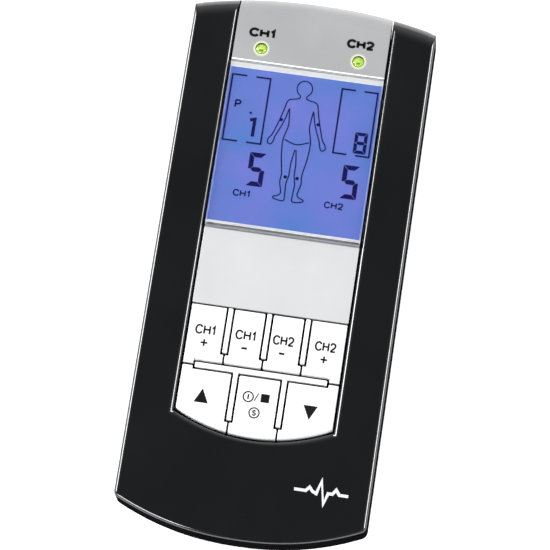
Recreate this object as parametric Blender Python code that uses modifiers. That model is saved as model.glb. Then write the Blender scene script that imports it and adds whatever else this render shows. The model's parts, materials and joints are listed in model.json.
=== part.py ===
"""A hand-held two-channel TENS unit, built as its separate pieces.

Frame: +X to the right of the face, +Y towards the end with the lead sockets, +Z out of the face.
The unit lies on its back. The origin is under the middle of its length, at the outer face of the belt clip.
"""
import math

import bmesh
import bpy
from mathutils import Matrix, Vector

MM = 0.001

# Case
CASE_WIDTH = 60.0 * MM
CASE_LENGTH = 133.2 * MM
BACK_Z = 7.0 * MM                # outer face of the back, above the belt clip's outer face
PARTING_Z = 19.5 * MM            # where the front and rear shells meet, the widest section
FACE_Z = 31.0 * MM
WALL = 2.0 * MM
TOP_SAG = 3.6 * MM               # how far each end's edge falls back from its middle to its corners
BOTTOM_SAG = 6.6 * MM
END_POWER = 2.2
TOP_CORNER_RADIUS = 3.0 * MM
BOTTOM_CORNER_RADIUS = 2.0 * MM
MIN_CORNER_RADIUS = 0.8 * MM
FRONT_DRAFT = 0.5 * MM
REAR_DRAFT = 0.9 * MM
RIM_RADIUS = 1.1 * MM            # rounding between the face and the sides
TOP_RIM_RADIUS = 5.5 * MM        # the same at the socket end
BACK_RIM_RADIUS = 2.5 * MM
GAP = 0.3 * MM                   # between pieces that meet

# Strip let into the face: socket-end cap, display, blank fascia and keypad
STRIP_HALF = 18.7 * MM
STRIP_END_Y = -42.5 * MM
STRIP_SAG = 4.5 * MM
CAP_SEAM_Y = 48.2 * MM
LENS_SEAM_Y = 6.4 * MM
KEYPAD_SEAM_Y = -12.3 * MM
STRIP_TOP_Z = FACE_Z - 0.4 * MM
FASCIA_THICKNESS = 1.6 * MM
CAP_LOW_Z = 12.0 * MM            # the cap's end wall reaches down over the sockets
CAP_END_WALL = 3.7 * MM          # from the end's outermost point to the inside of that wall

# Keypad
KEY_THICKNESS = 1.7 * MM
RIB_WIDTH = 1.45 * MM
ROW_RIB_Y = -26.9 * MM
ROW_RIB_HEIGHT = 1.8 * MM
ROW_RIB_HALF = 15.6 * MM
UPPER_RIB_X = 9.2 * MM
UPPER_RIB_END_Y = -23.3 * MM
LOWER_RIB_X = 5.8 * MM
LOWER_RIB_END_Y = -38.85 * MM
UPPER_KEY_Y = -19.4 * MM
LOWER_KEY_Y = -34.1 * MM
KEY_FRAME_LOW_Z = 27.4 * MM
KEY_FRAME_PLATE = 0.7 * MM
KEY_FRAME_LIP = 1.4 * MM         # the plate reaches this far under the case round the keys

# Circuit board and what stands on it
BOARD_LOW_Z = 21.9 * MM
BOARD_THICKNESS = 1.6 * MM
BOARD_TOP_Z = BOARD_LOW_Z + BOARD_THICKNESS
BOARD_HALF = 26.3 * MM
BOARD_SHOULDER_Y = 46.0 * MM     # past this the board narrows, to clear the case screws
BOARD_END_HALF = 20.4 * MM
BOARD_END_Y = 57.0 * MM
SWITCH_SIZE = 6.0 * MM
SWITCH_TOP_Z = KEY_FRAME_LOW_Z - GAP
SWITCH_BORE_RADIUS = 1.9 * MM
SWITCH_BORE_DEPTH = 1.2 * MM
PLUNGER_RADIUS = 1.6 * MM
PLUNGER_REACH = 0.5 * MM
GLASS_TOP_Z = 29.2 * MM
GLASS_THICKNESS = 1.6 * MM
GLASS_LOW_Z = GLASS_TOP_Z - GLASS_THICKNESS
GLASS_Y = (7.8 * MM, 47.0 * MM)
BACKLIGHT_HALF = 17.6 * MM
BACKLIGHT_Y = (11.2 * MM, 43.6 * MM)
BACKLIGHT_LIFT = 1.4 * MM
ZEBRA_HALF = 16.0 * MM
ZEBRA_WIDTH = 2.0 * MM
ZEBRA_Y = {"zebra_strip_lower": 8.7 * MM, "zebra_strip_upper": 44.3 * MM}
HOLDER_HALF = 20.4 * MM
HOLDER_Y = (5.8 * MM, 48.5 * MM)
HOLDER_WALL = 1.5 * MM
LENS_BEVEL = 0.4 * MM
LED_X = 11.8 * MM
LED_Y = 51.7 * MM
LED_RADIUS = 1.45 * MM
LED_TIP_Z = FACE_Z + 0.25 * MM
SOCKET_X = 11.7 * MM
SOCKET_Z = 17.5 * MM
SOCKET_RADIUS = 3.2 * MM
SOCKET_BODY_HALF = 4.5 * MM
SOCKET_BODY_LOW_Z = 13.6 * MM
SOCKET_BODY_LENGTH = 11.6 * MM
SOCKET_NOSE_END = 0.8 * MM       # the nose stops this far short of the end's outermost point
SOCKET_NOSE_LENGTH = 5.8 * MM
SOCKET_RECESS_RADIUS = 2.3 * MM
SOCKET_RECESS_DEPTH = 8.6 * MM
SOCKET_PIN_RADIUS = 0.9 * MM
SOCKET_PIN_LENGTH = 7.5 * MM
TRANSFORMER_X = 13.0 * MM
TRANSFORMER_Y = 31.0 * MM
CORE_SIZE = (12.0 * MM, 6.0 * MM, 8.5 * MM)
BOBBIN_SIZE = (9.0 * MM, 11.0 * MM, 6.5 * MM)
CHIP_Y = 13.0 * MM
CHIP_SIZE = (10.0 * MM, 10.0 * MM, 1.6 * MM)
BUZZER_Y = 31.0 * MM
BUZZER_RADIUS = 6.0 * MM
BUZZER_HEIGHT = 6.0 * MM

# Battery compartment for three AAA cells and its sliding door
CELL_RADIUS = 5.2 * MM
CELL_LENGTH = 44.5 * MM
CELL_PITCH = 11.3 * MM
CELL_Z = 14.5 * MM
BAY_HALF = 17.3 * MM
BAY_LOW_Y = -56.1 * MM
BAY_HIGH_Y = -6.6 * MM
BAY_TOP_Z = 20.0 * MM
BAY_WALL = 1.2 * MM
BAY_RIB_TOP_Z = 17.0 * MM
BAY_CROSS_RIBS_Y = (-44.0 * MM, -20.0 * MM)
BAY_END_RIBS_X = (-10.0 * MM, 10.0 * MM)
CELL_NOSE_RADIUS = 1.9 * MM
CELL_NOSE_LENGTH = 1.0 * MM
CONTACT_THICKNESS = 0.5 * MM
CONTACT_HALF = 4.0 * MM
CONTACT_RISE = 4.3 * MM          # above and below the cells' axis
SPRING_TURNS = 3
SPRING_RADII = (3.6 * MM, 1.7 * MM)
SPRING_WIRE_RADIUS = 0.3 * MM
DOOR_END_Y = -4.0 * MM
DOOR_HALF = 19.7 * MM
DOOR_TONGUE = 1.2 * MM
DOOR_THICKNESS = 1.8 * MM
DOOR_LEDGE = 0.6 * MM
DOOR_MIDDLE_Y = -35.0 * MM
DOOR_GROOVES_Y = (-52.0 * MM, -49.5 * MM, -47.0 * MM)
DOOR_GROOVE_HALF = 7.0 * MM
DOOR_GROOVE_WIDTH = 1.0 * MM
DOOR_GROOVE_DEPTH = 0.5 * MM

# Belt clip
CLIP_HALF = 10.0 * MM
CLIP_THICKNESS = 2.0 * MM
CLIP_PIVOT_Y = 24.0 * MM
CLIP_PIVOT_Z = 4.6 * MM
CLIP_PIN_RADIUS = 1.0 * MM
CLIP_PIN_HOLE = 1.3 * MM
CLIP_KNUCKLE = 2.0 * MM
CLIP_NOTCH_HALF = 4.8 * MM
CLIP_EAR_WIDTH = 2.0 * MM
CLIP_EAR_REACH = 2.4 * MM
CLIP_EAR_DROP = 2.2 * MM
CLIP_NOSE_Y = -24.0 * MM
CLIP_THUMB_Y = 34.6 * MM
CLIP_SPRING_RADIUS = 1.6 * MM
CLIP_SPRING_HALF = 3.4 * MM
CLIP_SPRING_TURNS = 4.5
CLIP_SPRING_WIRE_RADIUS = 0.25 * MM

# Screws: two at each end of the case, two in the board
CASE_SCREWS = {
    "case_screw_top_left": (-24.3 * MM, 52.0 * MM),
    "case_screw_top_right": (24.3 * MM, 52.0 * MM),
    "case_screw_bottom_left": (-25.0 * MM, -52.0 * MM),
    "case_screw_bottom_right": (25.0 * MM, -52.0 * MM),
}
BOARD_SCREWS = {
    "board_screw_left": (-23.5 * MM, -4.0 * MM),
    "board_screw_right": (23.5 * MM, -4.0 * MM),
}
CASE_BOSS_RADIUS = 3.4 * MM
BOARD_POST_RADIUS = 2.4 * MM
SCREW_HEAD_RADIUS = 2.4 * MM
SCREW_HEAD_HEIGHT = 1.6 * MM
SCREW_SHANK_RADIUS = 1.0 * MM
SCREW_LENGTH = 16.0 * MM
SCREW_HEAD_Z = 9.2 * MM
BOARD_SCREW_HEAD_RADIUS = 2.2 * MM
BOARD_SCREW_LENGTH = 5.0 * MM

HALF_WIDTH = CASE_WIDTH / 2
HALF_LENGTH = CASE_LENGTH / 2
KEY_LOW_Z = STRIP_TOP_Z - KEY_THICKNESS
BAR = 80.0 * MM                  # longer than any piece, for cutters that run right through

# Colour, roughness, metallic and transmission of each material
FINISHES = {
    "black_gloss": ((0.012, 0.013, 0.016), 0.15, 0.0, 0.0),
    "black_matte": ((0.02, 0.02, 0.022), 0.5, 0.0, 0.0),
    "silver_plastic": ((0.5, 0.51, 0.53), 0.35, 0.0, 0.0),
    "fascia_plastic": ((0.78, 0.79, 0.8), 0.3, 0.0, 0.0),
    "key_white": ((0.86, 0.87, 0.88), 0.35, 0.0, 0.0),
    "clear_lens": ((0.9, 0.95, 1.0), 0.03, 0.0, 0.9),
    "display_blue": ((0.1, 0.25, 0.6), 0.15, 0.0, 0.0),
    "white_plastic": ((0.8, 0.8, 0.78), 0.4, 0.0, 0.0),
    "led_green": ((0.5, 0.75, 0.05), 0.1, 0.0, 0.0),
    "board_green": ((0.02, 0.16, 0.07), 0.4, 0.0, 0.0),
    "conductive_rubber": ((0.25, 0.25, 0.27), 0.8, 0.0, 0.0),
    "ferrite": ((0.05, 0.05, 0.055), 0.6, 0.0, 0.0),
    "cell_label": ((0.45, 0.46, 0.48), 0.3, 0.6, 0.0),
    "spring_steel": ((0.6, 0.61, 0.62), 0.25, 1.0, 0.0),
    "screw_steel": ((0.45, 0.45, 0.46), 0.3, 1.0, 0.0),
}


def new_collection(name):
    collection = bpy.data.collections.new(name)
    bpy.context.scene.collection.children.link(collection)
    return collection


def clear_scene():
    for old in list(bpy.data.objects):
        bpy.data.objects.remove(old, do_unlink=True)


clear_scene()
UNIT = new_collection("tens_unit")
CUTTERS = new_collection("cutters")


def finish(name):
    """The material of that name, made the first time it is asked for."""
    if name in bpy.data.materials:
        return bpy.data.materials[name]
    colour, roughness, metallic, transmission = FINISHES[name]
    made = bpy.data.materials.new(name)
    made.use_nodes = True
    shader = made.node_tree.nodes["Principled BSDF"]
    shader.inputs["Base Color"].default_value = (*colour, 1.0)
    shader.inputs["Roughness"].default_value = roughness
    shader.inputs["Metallic"].default_value = metallic
    shader.inputs["Transmission Weight"].default_value = transmission
    return made


def place(name, bm, slot=None, origin=(0, 0, 0)):
    """Turn a bmesh in world coordinates into an object with the given origin; with no slot it is a cutter."""
    bmesh.ops.transform(bm, matrix=Matrix.Translation(-Vector(origin)), verts=bm.verts)
    bmesh.ops.recalc_face_normals(bm, faces=bm.faces)
    mesh = bpy.data.meshes.new(name)
    bm.to_mesh(mesh)
    bm.free()
    made = bpy.data.objects.new(name, mesh)
    made.location = origin
    if slot:
        mesh.materials.append(finish(slot))
        UNIT.objects.link(made)
    else:
        made.hide_render = True
        made.display_type = "WIRE"
        CUTTERS.objects.link(made)
    return made


def smooth(made, angle=35):
    made.data.shade_smooth()
    made.data.set_sharp_from_angle(angle=math.radians(angle))
    return made


def boolean(made, cutter, operation="DIFFERENCE"):
    modifier = made.modifiers.new(cutter.name, "BOOLEAN")
    modifier.object = cutter
    modifier.operation = operation
    modifier.solver = "EXACT"
    return made


# ---- shapes, each returned as a bmesh -------------------------------------------------------------

def box(low, high):
    bm = bmesh.new()
    bmesh.ops.create_cube(bm, size=1.0)
    low = Vector(low)
    high = Vector(high)
    bmesh.ops.scale(bm, vec=high - low, verts=bm.verts)
    bmesh.ops.translate(bm, vec=(low + high) / 2, verts=bm.verts)
    return bm


AXIS_TURN = {
    "X": Matrix.Rotation(math.radians(90), 4, "Y"),
    "Y": Matrix.Rotation(math.radians(-90), 4, "X"),
    "Z": Matrix.Identity(4),
}


def cylinder(low, length, radius, axis="Z", segments=20):
    """A cylinder from its low end's centre along +axis."""
    bm = bmesh.new()
    bmesh.ops.create_cone(bm, cap_ends=True, segments=segments, radius1=radius, radius2=radius, depth=length)
    bmesh.ops.translate(bm, vec=(0, 0, length / 2), verts=bm.verts)
    bmesh.ops.transform(bm, matrix=Matrix.Translation(low) @ AXIS_TURN[axis], verts=bm.verts)
    return bm


def prism(outline, start, end, axis="Z"):
    """Extrude a flat outline along an axis. The outline's pairs are (x, y), (x, z) or (y, z)."""
    lift = {
        "Z": lambda a, b, c: (a, b, c),
        "Y": lambda a, b, c: (a, c, b),
        "X": lambda a, b, c: (c, a, b),
    }[axis]
    bm = bmesh.new()
    face = bm.faces.new([bm.verts.new(lift(a, b, start)) for a, b in outline])
    extruded = bmesh.ops.extrude_face_region(bm, geom=[face])
    moved = [item for item in extruded["geom"] if isinstance(item, bmesh.types.BMVert)]
    bmesh.ops.translate(bm, vec=lift(0, 0, end - start), verts=moved)
    return bm


def loft(rings):
    """A closed skin over rings of points, each ring with the same number of points."""
    bm = bmesh.new()
    loops = [[bm.verts.new(point) for point in ring] for ring in rings]
    for lower, upper in zip(loops, loops[1:]):
        for i in range(len(lower)):
            j = (i + 1) % len(lower)
            bm.faces.new((lower[i], lower[j], upper[j], upper[i]))
    bm.faces.new(reversed(loops[0]))
    bm.faces.new(loops[-1])
    return bm


def join(*shapes):
    """Several shapes that don't touch, in one bmesh."""
    whole = bmesh.new()
    for shape in shapes:
        mesh = bpy.data.meshes.new("joined")
        shape.to_mesh(mesh)
        shape.free()
        whole.from_mesh(mesh)
        bpy.data.meshes.remove(mesh)
    return whole


def turned(name, profile, location, slot, axis="Z", steps=20):
    """A turned piece. Its profile's (radius, height) pairs run from the axis at the top to the axis at the foot."""
    mesh = bpy.data.meshes.new(name)
    points = [(radius, 0, height) for radius, height in profile]
    mesh.from_pydata(points, [(i, i + 1) for i in range(len(points) - 1)], [])
    mesh.materials.append(finish(slot))
    made = bpy.data.objects.new(name, mesh)
    made.location = location
    made.rotation_euler = AXIS_TURN[axis].to_euler()
    UNIT.objects.link(made)
    screw = made.modifiers.new("turn", "SCREW")
    screw.steps = steps
    screw.render_steps = steps
    screw.use_merge_vertices = True
    screw.merge_threshold = 0.00001
    screw.use_smooth_shade = True
    return made


def wire(name, points, radius, slot):
    """A bent wire with filled ends."""
    curve = bpy.data.curves.new(name, "CURVE")
    curve.dimensions = "3D"
    curve.bevel_depth = radius
    curve.bevel_resolution = 2
    curve.use_fill_caps = True
    spline = curve.splines.new("POLY")
    spline.points.add(len(points) - 1)
    for slot_point, point in zip(spline.points, points):
        slot_point.co = (*point, 1.0)
    curve.materials.append(finish(slot))
    made = bpy.data.objects.new(name, curve)
    UNIT.objects.link(made)
    return made


# ---- outline of the case --------------------------------------------------------------------------

def end_edge(x, sag):
    """How far an end's edge has fallen back at x."""
    return sag * (abs(x) / HALF_WIDTH) ** END_POWER


def quarter(half, apex, sag, corner, edge_steps=8, corner_steps=4):
    """From the middle of an end to the straight side, for an end that points along +Y."""
    slope = math.atan(END_POWER * sag / HALF_WIDTH * ((half - corner) / HALF_WIDTH) ** (END_POWER - 1))
    edge_x = half - corner + corner * math.sin(slope)
    centre = (half - corner, apex - end_edge(edge_x, sag) - corner * math.cos(slope))
    points = []
    for i in range(edge_steps):
        x = edge_x * i / edge_steps
        points.append((x, apex - end_edge(x, sag)))
    for i in range(corner_steps + 1):
        turn = (math.pi / 2 - slope) * (1 - i / corner_steps)
        points.append((centre[0] + corner * math.cos(turn), centre[1] + corner * math.sin(turn)))
    return points


def case_outline(side=0.0, top=0.0, bottom=0.0):
    """Points round the case from the middle of the bottom end, counter-clockwise, moved in by the given depths."""
    half = HALF_WIDTH - side
    top_corner = max(TOP_CORNER_RADIUS - side, MIN_CORNER_RADIUS)
    bottom_corner = max(BOTTOM_CORNER_RADIUS - side, MIN_CORNER_RADIUS)
    upper = quarter(half, HALF_LENGTH - top, TOP_SAG, top_corner)
    lower = [(x, -y) for x, y in quarter(half, HALF_LENGTH - bottom, BOTTOM_SAG, bottom_corner)]
    right = lower + list(reversed(upper))
    left = [(-x, y) for x, y in reversed(right[1:-1])]
    return right + left


def facing_end(points):
    """For each point of an outline, the y of its outward unit normal."""
    result = []
    for i in range(len(points)):
        along = Vector(points[(i + 1) % len(points)]) - Vector(points[i - 1])
        result.append(-along.normalized().x)
    return result


def rim_radius(ny):
    """The face's rounding grows over the corners towards the socket end."""
    share = min(max((ny - 0.1) / 0.85, 0.0), 1.0)
    return RIM_RADIUS + (TOP_RIM_RADIUS - RIM_RADIUS) * share * share * (3 - 2 * share)


def case_body(steps=4):
    """The outside of the whole closed case: back rounding, widest section, drafted side, face rounding."""
    facing = facing_end(case_outline())
    rings = []
    for i in range(steps + 1):
        turn = math.pi / 2 * (1 - i / steps)
        reach = REAR_DRAFT + BACK_RIM_RADIUS * (1 - math.cos(turn))
        level = BACK_Z + BACK_RIM_RADIUS * (1 - math.sin(turn))
        rings.append([(x, y, level) for x, y in case_outline(reach, reach, reach)])
    rings.append([(x, y, PARTING_Z) for x, y in case_outline()])
    for i in range(steps + 1):
        turn = math.pi / 2 * i / steps
        reach = FRONT_DRAFT + RIM_RADIUS * (1 - math.cos(turn))
        top_reach = FRONT_DRAFT + TOP_RIM_RADIUS * (1 - math.cos(turn))
        rings.append([
            (x, y, FACE_Z - rim_radius(ny) * (1 - math.sin(turn)))
            for (x, y), ny in zip(case_outline(reach, top_reach, reach), facing)
        ])
    return loft(rings)


def cavity(low, high):
    """The room inside the walls, with a thicker wall under the socket end's big rounding."""
    depth = WALL + FRONT_DRAFT
    return prism(case_outline(depth, depth + 0.65 * WALL, depth), low, high)


def strip_outline(clearance, top_y, steps=12):
    """The strip's outline, grown by the clearance. Its lower end is an arc."""
    half = STRIP_HALF + clearance
    arc = []
    for i in range(steps + 1):
        x = half * (2 * i / steps - 1)
        arc.append((x, STRIP_END_Y - clearance + STRIP_SAG * (x / half) ** 2))
    return arc + [(half, top_y), (-half, top_y)]


# ---- case -----------------------------------------------------------------------------------------

def screw_bosses(low, high, radius):
    return [cylinder((x, y, low), high - low, radius) for x, y in CASE_SCREWS.values()]


def front_case():
    case = smooth(place("front_case", case_body(), "black_gloss"))
    below = box((-BAR, -BAR, -BAR), (BAR, BAR, PARTING_Z + GAP / 2))
    boolean(case, place("below_parting", below))
    boolean(case, place("front_cavity", cavity(PARTING_Z - WALL, FACE_Z - WALL)))
    window = prism(strip_outline(GAP / 2, BAR), PARTING_Z - WALL, FACE_Z + WALL)
    boolean(case, place("strip_window", window))
    bosses = screw_bosses(PARTING_Z + GAP / 2, FACE_Z - WALL / 2, CASE_BOSS_RADIUS)
    post_foot = BOARD_TOP_Z + GAP
    posts = [
        cylinder((x, y, post_foot), FACE_Z - WALL / 2 - post_foot, BOARD_POST_RADIUS)
        for x, y in BOARD_SCREWS.values()
    ]
    boolean(case, place("front_bosses", join(*bosses, *posts)), "UNION")
    pilot = SCREW_SHANK_RADIUS + GAP
    holes = screw_bosses(PARTING_Z - WALL, FACE_Z - 1.5 * WALL, pilot)
    depth = FACE_Z - 1.5 * WALL - BOARD_LOW_Z
    holes += [cylinder((x, y, BOARD_LOW_Z), depth, pilot) for x, y in BOARD_SCREWS.values()]
    boolean(case, place("front_pilot_holes", join(*holes)))


def tongue_profile(half, tongue, low, ledge_top, high):
    """Cross-section of the door, or of its slot: a plate with a tongue along each side."""
    return [
        (-half, low), (half, low), (half, ledge_top), (half + tongue, ledge_top),
        (half + tongue, high), (-half - tongue, high), (-half - tongue, ledge_top), (-half, ledge_top),
    ]


def rear_case():
    case = smooth(place("rear_case", case_body(), "black_matte"))
    above = box((-BAR, -BAR, PARTING_Z - GAP / 2), (BAR, BAR, BAR))
    boolean(case, place("above_parting", above))
    boolean(case, place("rear_cavity", cavity(BACK_Z + WALL, PARTING_Z + WALL)))
    bay = box(
        (-BAY_HALF - BAY_WALL, BAY_LOW_Y - BAY_WALL, BACK_Z + WALL / 2),
        (BAY_HALF + BAY_WALL, BAY_HIGH_Y + BAY_WALL, BAY_TOP_Z + BAY_WALL),
    )
    boolean(case, place("battery_bay", bay), "UNION")
    side = HALF_WIDTH - WALL
    low = BACK_Z + WALL / 2
    across = [box((-side, y, low), (side, y + BAY_WALL, BAY_RIB_TOP_Z)) for y in BAY_CROSS_RIBS_Y]
    boolean(case, place("bay_cross_ribs", join(*across)), "UNION")
    along = [
        box((x - BAY_WALL / 2, -HALF_LENGTH + WALL, low), (x + BAY_WALL / 2, BAY_LOW_Y, BAY_RIB_TOP_Z))
        for x in BAY_END_RIBS_X
    ]
    boolean(case, place("bay_end_ribs", join(*along)), "UNION")
    bosses = screw_bosses(low, PARTING_Z - GAP / 2, CASE_BOSS_RADIUS)
    boolean(case, place("rear_bosses", join(*bosses)), "UNION")
    ears = [
        box((x0, CLIP_PIVOT_Y - CLIP_EAR_REACH, CLIP_PIVOT_Z - CLIP_EAR_DROP),
            (x1, CLIP_PIVOT_Y + CLIP_EAR_REACH, BACK_Z + WALL / 2))
        for x0, x1 in clip_ear_spans()
    ]
    boolean(case, place("clip_ears", join(*ears)), "UNION")
    hollow = box((-BAY_HALF, BAY_LOW_Y, 0), (BAY_HALF, BAY_HIGH_Y, BAY_TOP_Z))
    boolean(case, place("battery_room", hollow))
    door_top = BACK_Z + DOOR_THICKNESS
    slot = tongue_profile(DOOR_HALF + GAP, DOOR_TONGUE, 0, BACK_Z + DOOR_LEDGE, door_top + GAP)
    boolean(case, place("door_slot", prism(slot, -BAR, DOOR_END_Y + GAP, "Y")))
    notch = box(
        (-STRIP_HALF - GAP / 2, HALF_LENGTH - 10 * MM, CAP_LOW_Z - GAP),
        (STRIP_HALF + GAP / 2, BAR, PARTING_Z + WALL),
    )
    boolean(case, place("cap_notch", notch))
    shanks = screw_bosses(0, PARTING_Z + WALL, SCREW_SHANK_RADIUS + GAP)
    boolean(case, place("rear_shank_holes", join(*shanks)))
    heads = screw_bosses(0, SCREW_HEAD_Z + SCREW_HEAD_HEIGHT + GAP, SCREW_HEAD_RADIUS + GAP)
    boolean(case, place("rear_head_holes", join(*heads)))
    pin = cylinder((-BAR, CLIP_PIVOT_Y, CLIP_PIVOT_Z), 2 * BAR, CLIP_PIN_HOLE, "X")
    boolean(case, place("clip_pin_hole", pin))


def battery_door():
    top = BACK_Z + DOOR_THICKNESS
    origin = (0, DOOR_MIDDLE_Y, top - DOOR_THICKNESS / 2)
    door = smooth(place("battery_door", case_body(), "black_matte", origin))
    profile = tongue_profile(DOOR_HALF, DOOR_TONGUE, 0, BACK_Z + DOOR_LEDGE + GAP, top)
    boolean(door, place("door_blank", prism(profile, -BAR, DOOR_END_Y, "Y")), "INTERSECT")
    half = DOOR_GROOVE_HALF
    grooves = [
        box((-half, y, 0), (half, y + DOOR_GROOVE_WIDTH, BACK_Z + DOOR_GROOVE_DEPTH)) for y in DOOR_GROOVES_Y
    ]
    boolean(door, place("door_grip", join(*grooves)))


def jack_end_cap():
    """Silver cap over the socket end: a top plate that rounds over into an end wall."""
    cap = smooth(place("jack_end_cap", case_body(steps=6), "silver_plastic"))
    half = STRIP_HALF - GAP / 2
    blank = box((-half, CAP_SEAM_Y + GAP / 2, CAP_LOW_Z), (half, BAR, BAR))
    boolean(cap, place("cap_blank", blank), "INTERSECT")
    inside = box((-BAR, -BAR, -BAR), (BAR, HALF_LENGTH - CAP_END_WALL, FACE_Z - 0.9 * WALL))
    boolean(cap, place("cap_inside", inside))
    leds = [cylinder((x, LED_Y, PARTING_Z), FACE_Z, LED_RADIUS + GAP) for x in (-LED_X, LED_X)]
    sockets = [cylinder((x, 0, SOCKET_Z), BAR, SOCKET_RADIUS + GAP, "Y") for x in (-SOCKET_X, SOCKET_X)]
    boolean(cap, place("cap_holes", join(*leds, *sockets)))


def case_screws():
    for name, (x, y) in CASE_SCREWS.items():
        profile = [
            (0, SCREW_LENGTH), (SCREW_SHANK_RADIUS * 0.5, SCREW_LENGTH),
            (SCREW_SHANK_RADIUS, SCREW_LENGTH - SCREW_SHANK_RADIUS), (SCREW_SHANK_RADIUS, SCREW_HEAD_HEIGHT),
            (SCREW_HEAD_RADIUS, SCREW_HEAD_HEIGHT), (SCREW_HEAD_RADIUS, 0.3 * SCREW_HEAD_HEIGHT),
            (SCREW_HEAD_RADIUS * 0.7, 0), (0, 0),
        ]
        turned(name, profile, (x, y, SCREW_HEAD_Z), "screw_steel", steps=16)


# ---- display --------------------------------------------------------------------------------------

def display():
    half = STRIP_HALF - GAP / 2
    low = (-half, LENS_SEAM_Y + GAP / 2, GLASS_TOP_Z + GAP)
    high = (half, CAP_SEAM_Y - GAP / 2, FACE_Z + GAP)
    lens = place("display_lens", box(low, high), "clear_lens")
    bevel = lens.modifiers.new("edges", "BEVEL")
    bevel.width = LENS_BEVEL
    bevel.segments = 2
    glass = box((-half, GLASS_Y[0], GLASS_LOW_Z), (half, GLASS_Y[1], GLASS_TOP_Z))
    place("lcd_glass", glass, "display_blue")
    under_glass = GLASS_LOW_Z - GAP
    light = box(
        (-BACKLIGHT_HALF, BACKLIGHT_Y[0], BOARD_TOP_Z + BACKLIGHT_LIFT),
        (BACKLIGHT_HALF, BACKLIGHT_Y[1], under_glass),
    )
    place("backlight_panel", light, "white_plastic")
    for name, y in ZEBRA_Y.items():
        strip = box((-ZEBRA_HALF, y, BOARD_TOP_Z + GAP), (ZEBRA_HALF, y + ZEBRA_WIDTH, under_glass))
        place(name, strip, "conductive_rubber")
    block = box(
        (-HOLDER_HALF, HOLDER_Y[0], BOARD_TOP_Z + GAP),
        (HOLDER_HALF, HOLDER_Y[1], FACE_Z - WALL - GAP),
    )
    holder = place("lcd_holder", block, "white_plastic")
    window = box(
        (-HOLDER_HALF + HOLDER_WALL, HOLDER_Y[0] + 0.9 * HOLDER_WALL, 0),
        (HOLDER_HALF - HOLDER_WALL, HOLDER_Y[1] - 0.7 * HOLDER_WALL, BAR),
    )
    boolean(holder, place("holder_window", window))


def fascia():
    half = STRIP_HALF - GAP / 2
    plate = box(
        (-half, KEYPAD_SEAM_Y + GAP / 2, STRIP_TOP_Z - FASCIA_THICKNESS),
        (half, LENS_SEAM_Y - GAP / 2, STRIP_TOP_Z),
    )
    place("silver_fascia", plate, "fascia_plastic")


# ---- keypad ---------------------------------------------------------------------------------------

def upright_ribs(grow, low, high):
    """The ribs between the keys of each row, grown by a clearance. The lower two start in the row rib."""
    half = RIB_WIDTH / 2 + grow
    spans = [(x, UPPER_RIB_END_Y, KEYPAD_SEAM_Y - GAP / 2) for x in (-UPPER_RIB_X, 0, UPPER_RIB_X)]
    spans += [(x, LOWER_RIB_END_Y, ROW_RIB_Y - grow) for x in (-LOWER_RIB_X, LOWER_RIB_X)]
    return join(*[box((x - half, y0 - grow, low), (x + half, y1 + grow, high)) for x, y0, y1 in spans])


def row_rib(grow, low, high):
    """The rib between the two rows of keys."""
    half = ROW_RIB_HALF + grow
    reach = ROW_RIB_HEIGHT / 2 + grow
    return box((-half, ROW_RIB_Y - reach, low), (half, ROW_RIB_Y + reach, high))


def key_table():
    """Each key's name, its cell between the seams as (x0, x1, y0, y1), and its centre."""
    edge = STRIP_HALF + GAP
    rows = (
        (("ch1_plus", "ch1_minus", "ch2_minus", "ch2_plus"), (-UPPER_RIB_X, 0.0, UPPER_RIB_X),
         (ROW_RIB_Y, KEYPAD_SEAM_Y), UPPER_KEY_Y),
        (("up", "power_select", "down"), (-LOWER_RIB_X, LOWER_RIB_X),
         (STRIP_END_Y - GAP, ROW_RIB_Y), LOWER_KEY_Y),
    )
    for names, ribs, (y0, y1), middle_y in rows:
        seams = (-edge, *ribs, edge)
        for name, x0, x1 in zip(names, seams, seams[1:]):
            middle_x = (max(x0, -STRIP_HALF) + min(x1, STRIP_HALF)) / 2
            yield name, (x0, x1, y0, y1), (middle_x, middle_y)


def key_frame():
    """A plate under the keys, with the white ribs that show between them."""
    plate_top = KEY_FRAME_LOW_Z + KEY_FRAME_PLATE
    outline = strip_outline(KEY_FRAME_LIP, KEYPAD_SEAM_Y + KEY_FRAME_LIP)
    frame = place("key_frame", prism(outline, KEY_FRAME_LOW_Z, plate_top), "key_white")
    rib_foot = plate_top - 0.2 * MM
    boolean(frame, place("frame_uprights", upright_ribs(0, rib_foot, STRIP_TOP_Z)), "UNION")
    boolean(frame, place("frame_row_rib", row_rib(0, rib_foot, STRIP_TOP_Z)), "UNION")
    hole = PLUNGER_RADIUS + 2 * GAP
    stems = [cylinder((x, y, 0), BAR, hole, segments=16) for name, cell, (x, y) in key_table()]
    boolean(frame, place("frame_stem_holes", join(*stems)))


def keys():
    seam = GAP / 2
    upright_space = place("upright_space", upright_ribs(GAP, 0, BAR))
    row_space = place("row_space", row_rib(GAP, 0, BAR))
    for name, (x0, x1, y0, y1), (x, y) in key_table():
        slab = prism(strip_outline(-seam, KEYPAD_SEAM_Y - seam), KEY_LOW_Z, STRIP_TOP_Z)
        key = place("key_" + name, slab, "key_white", (x, y, STRIP_TOP_Z))
        cell = box((x0 + seam, y0 + seam, 0), (x1 - seam, y1 - seam, BAR))
        boolean(key, place("cell_of_" + name, cell), "INTERSECT")
        boolean(key, upright_space)
        boolean(key, row_space)


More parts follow.
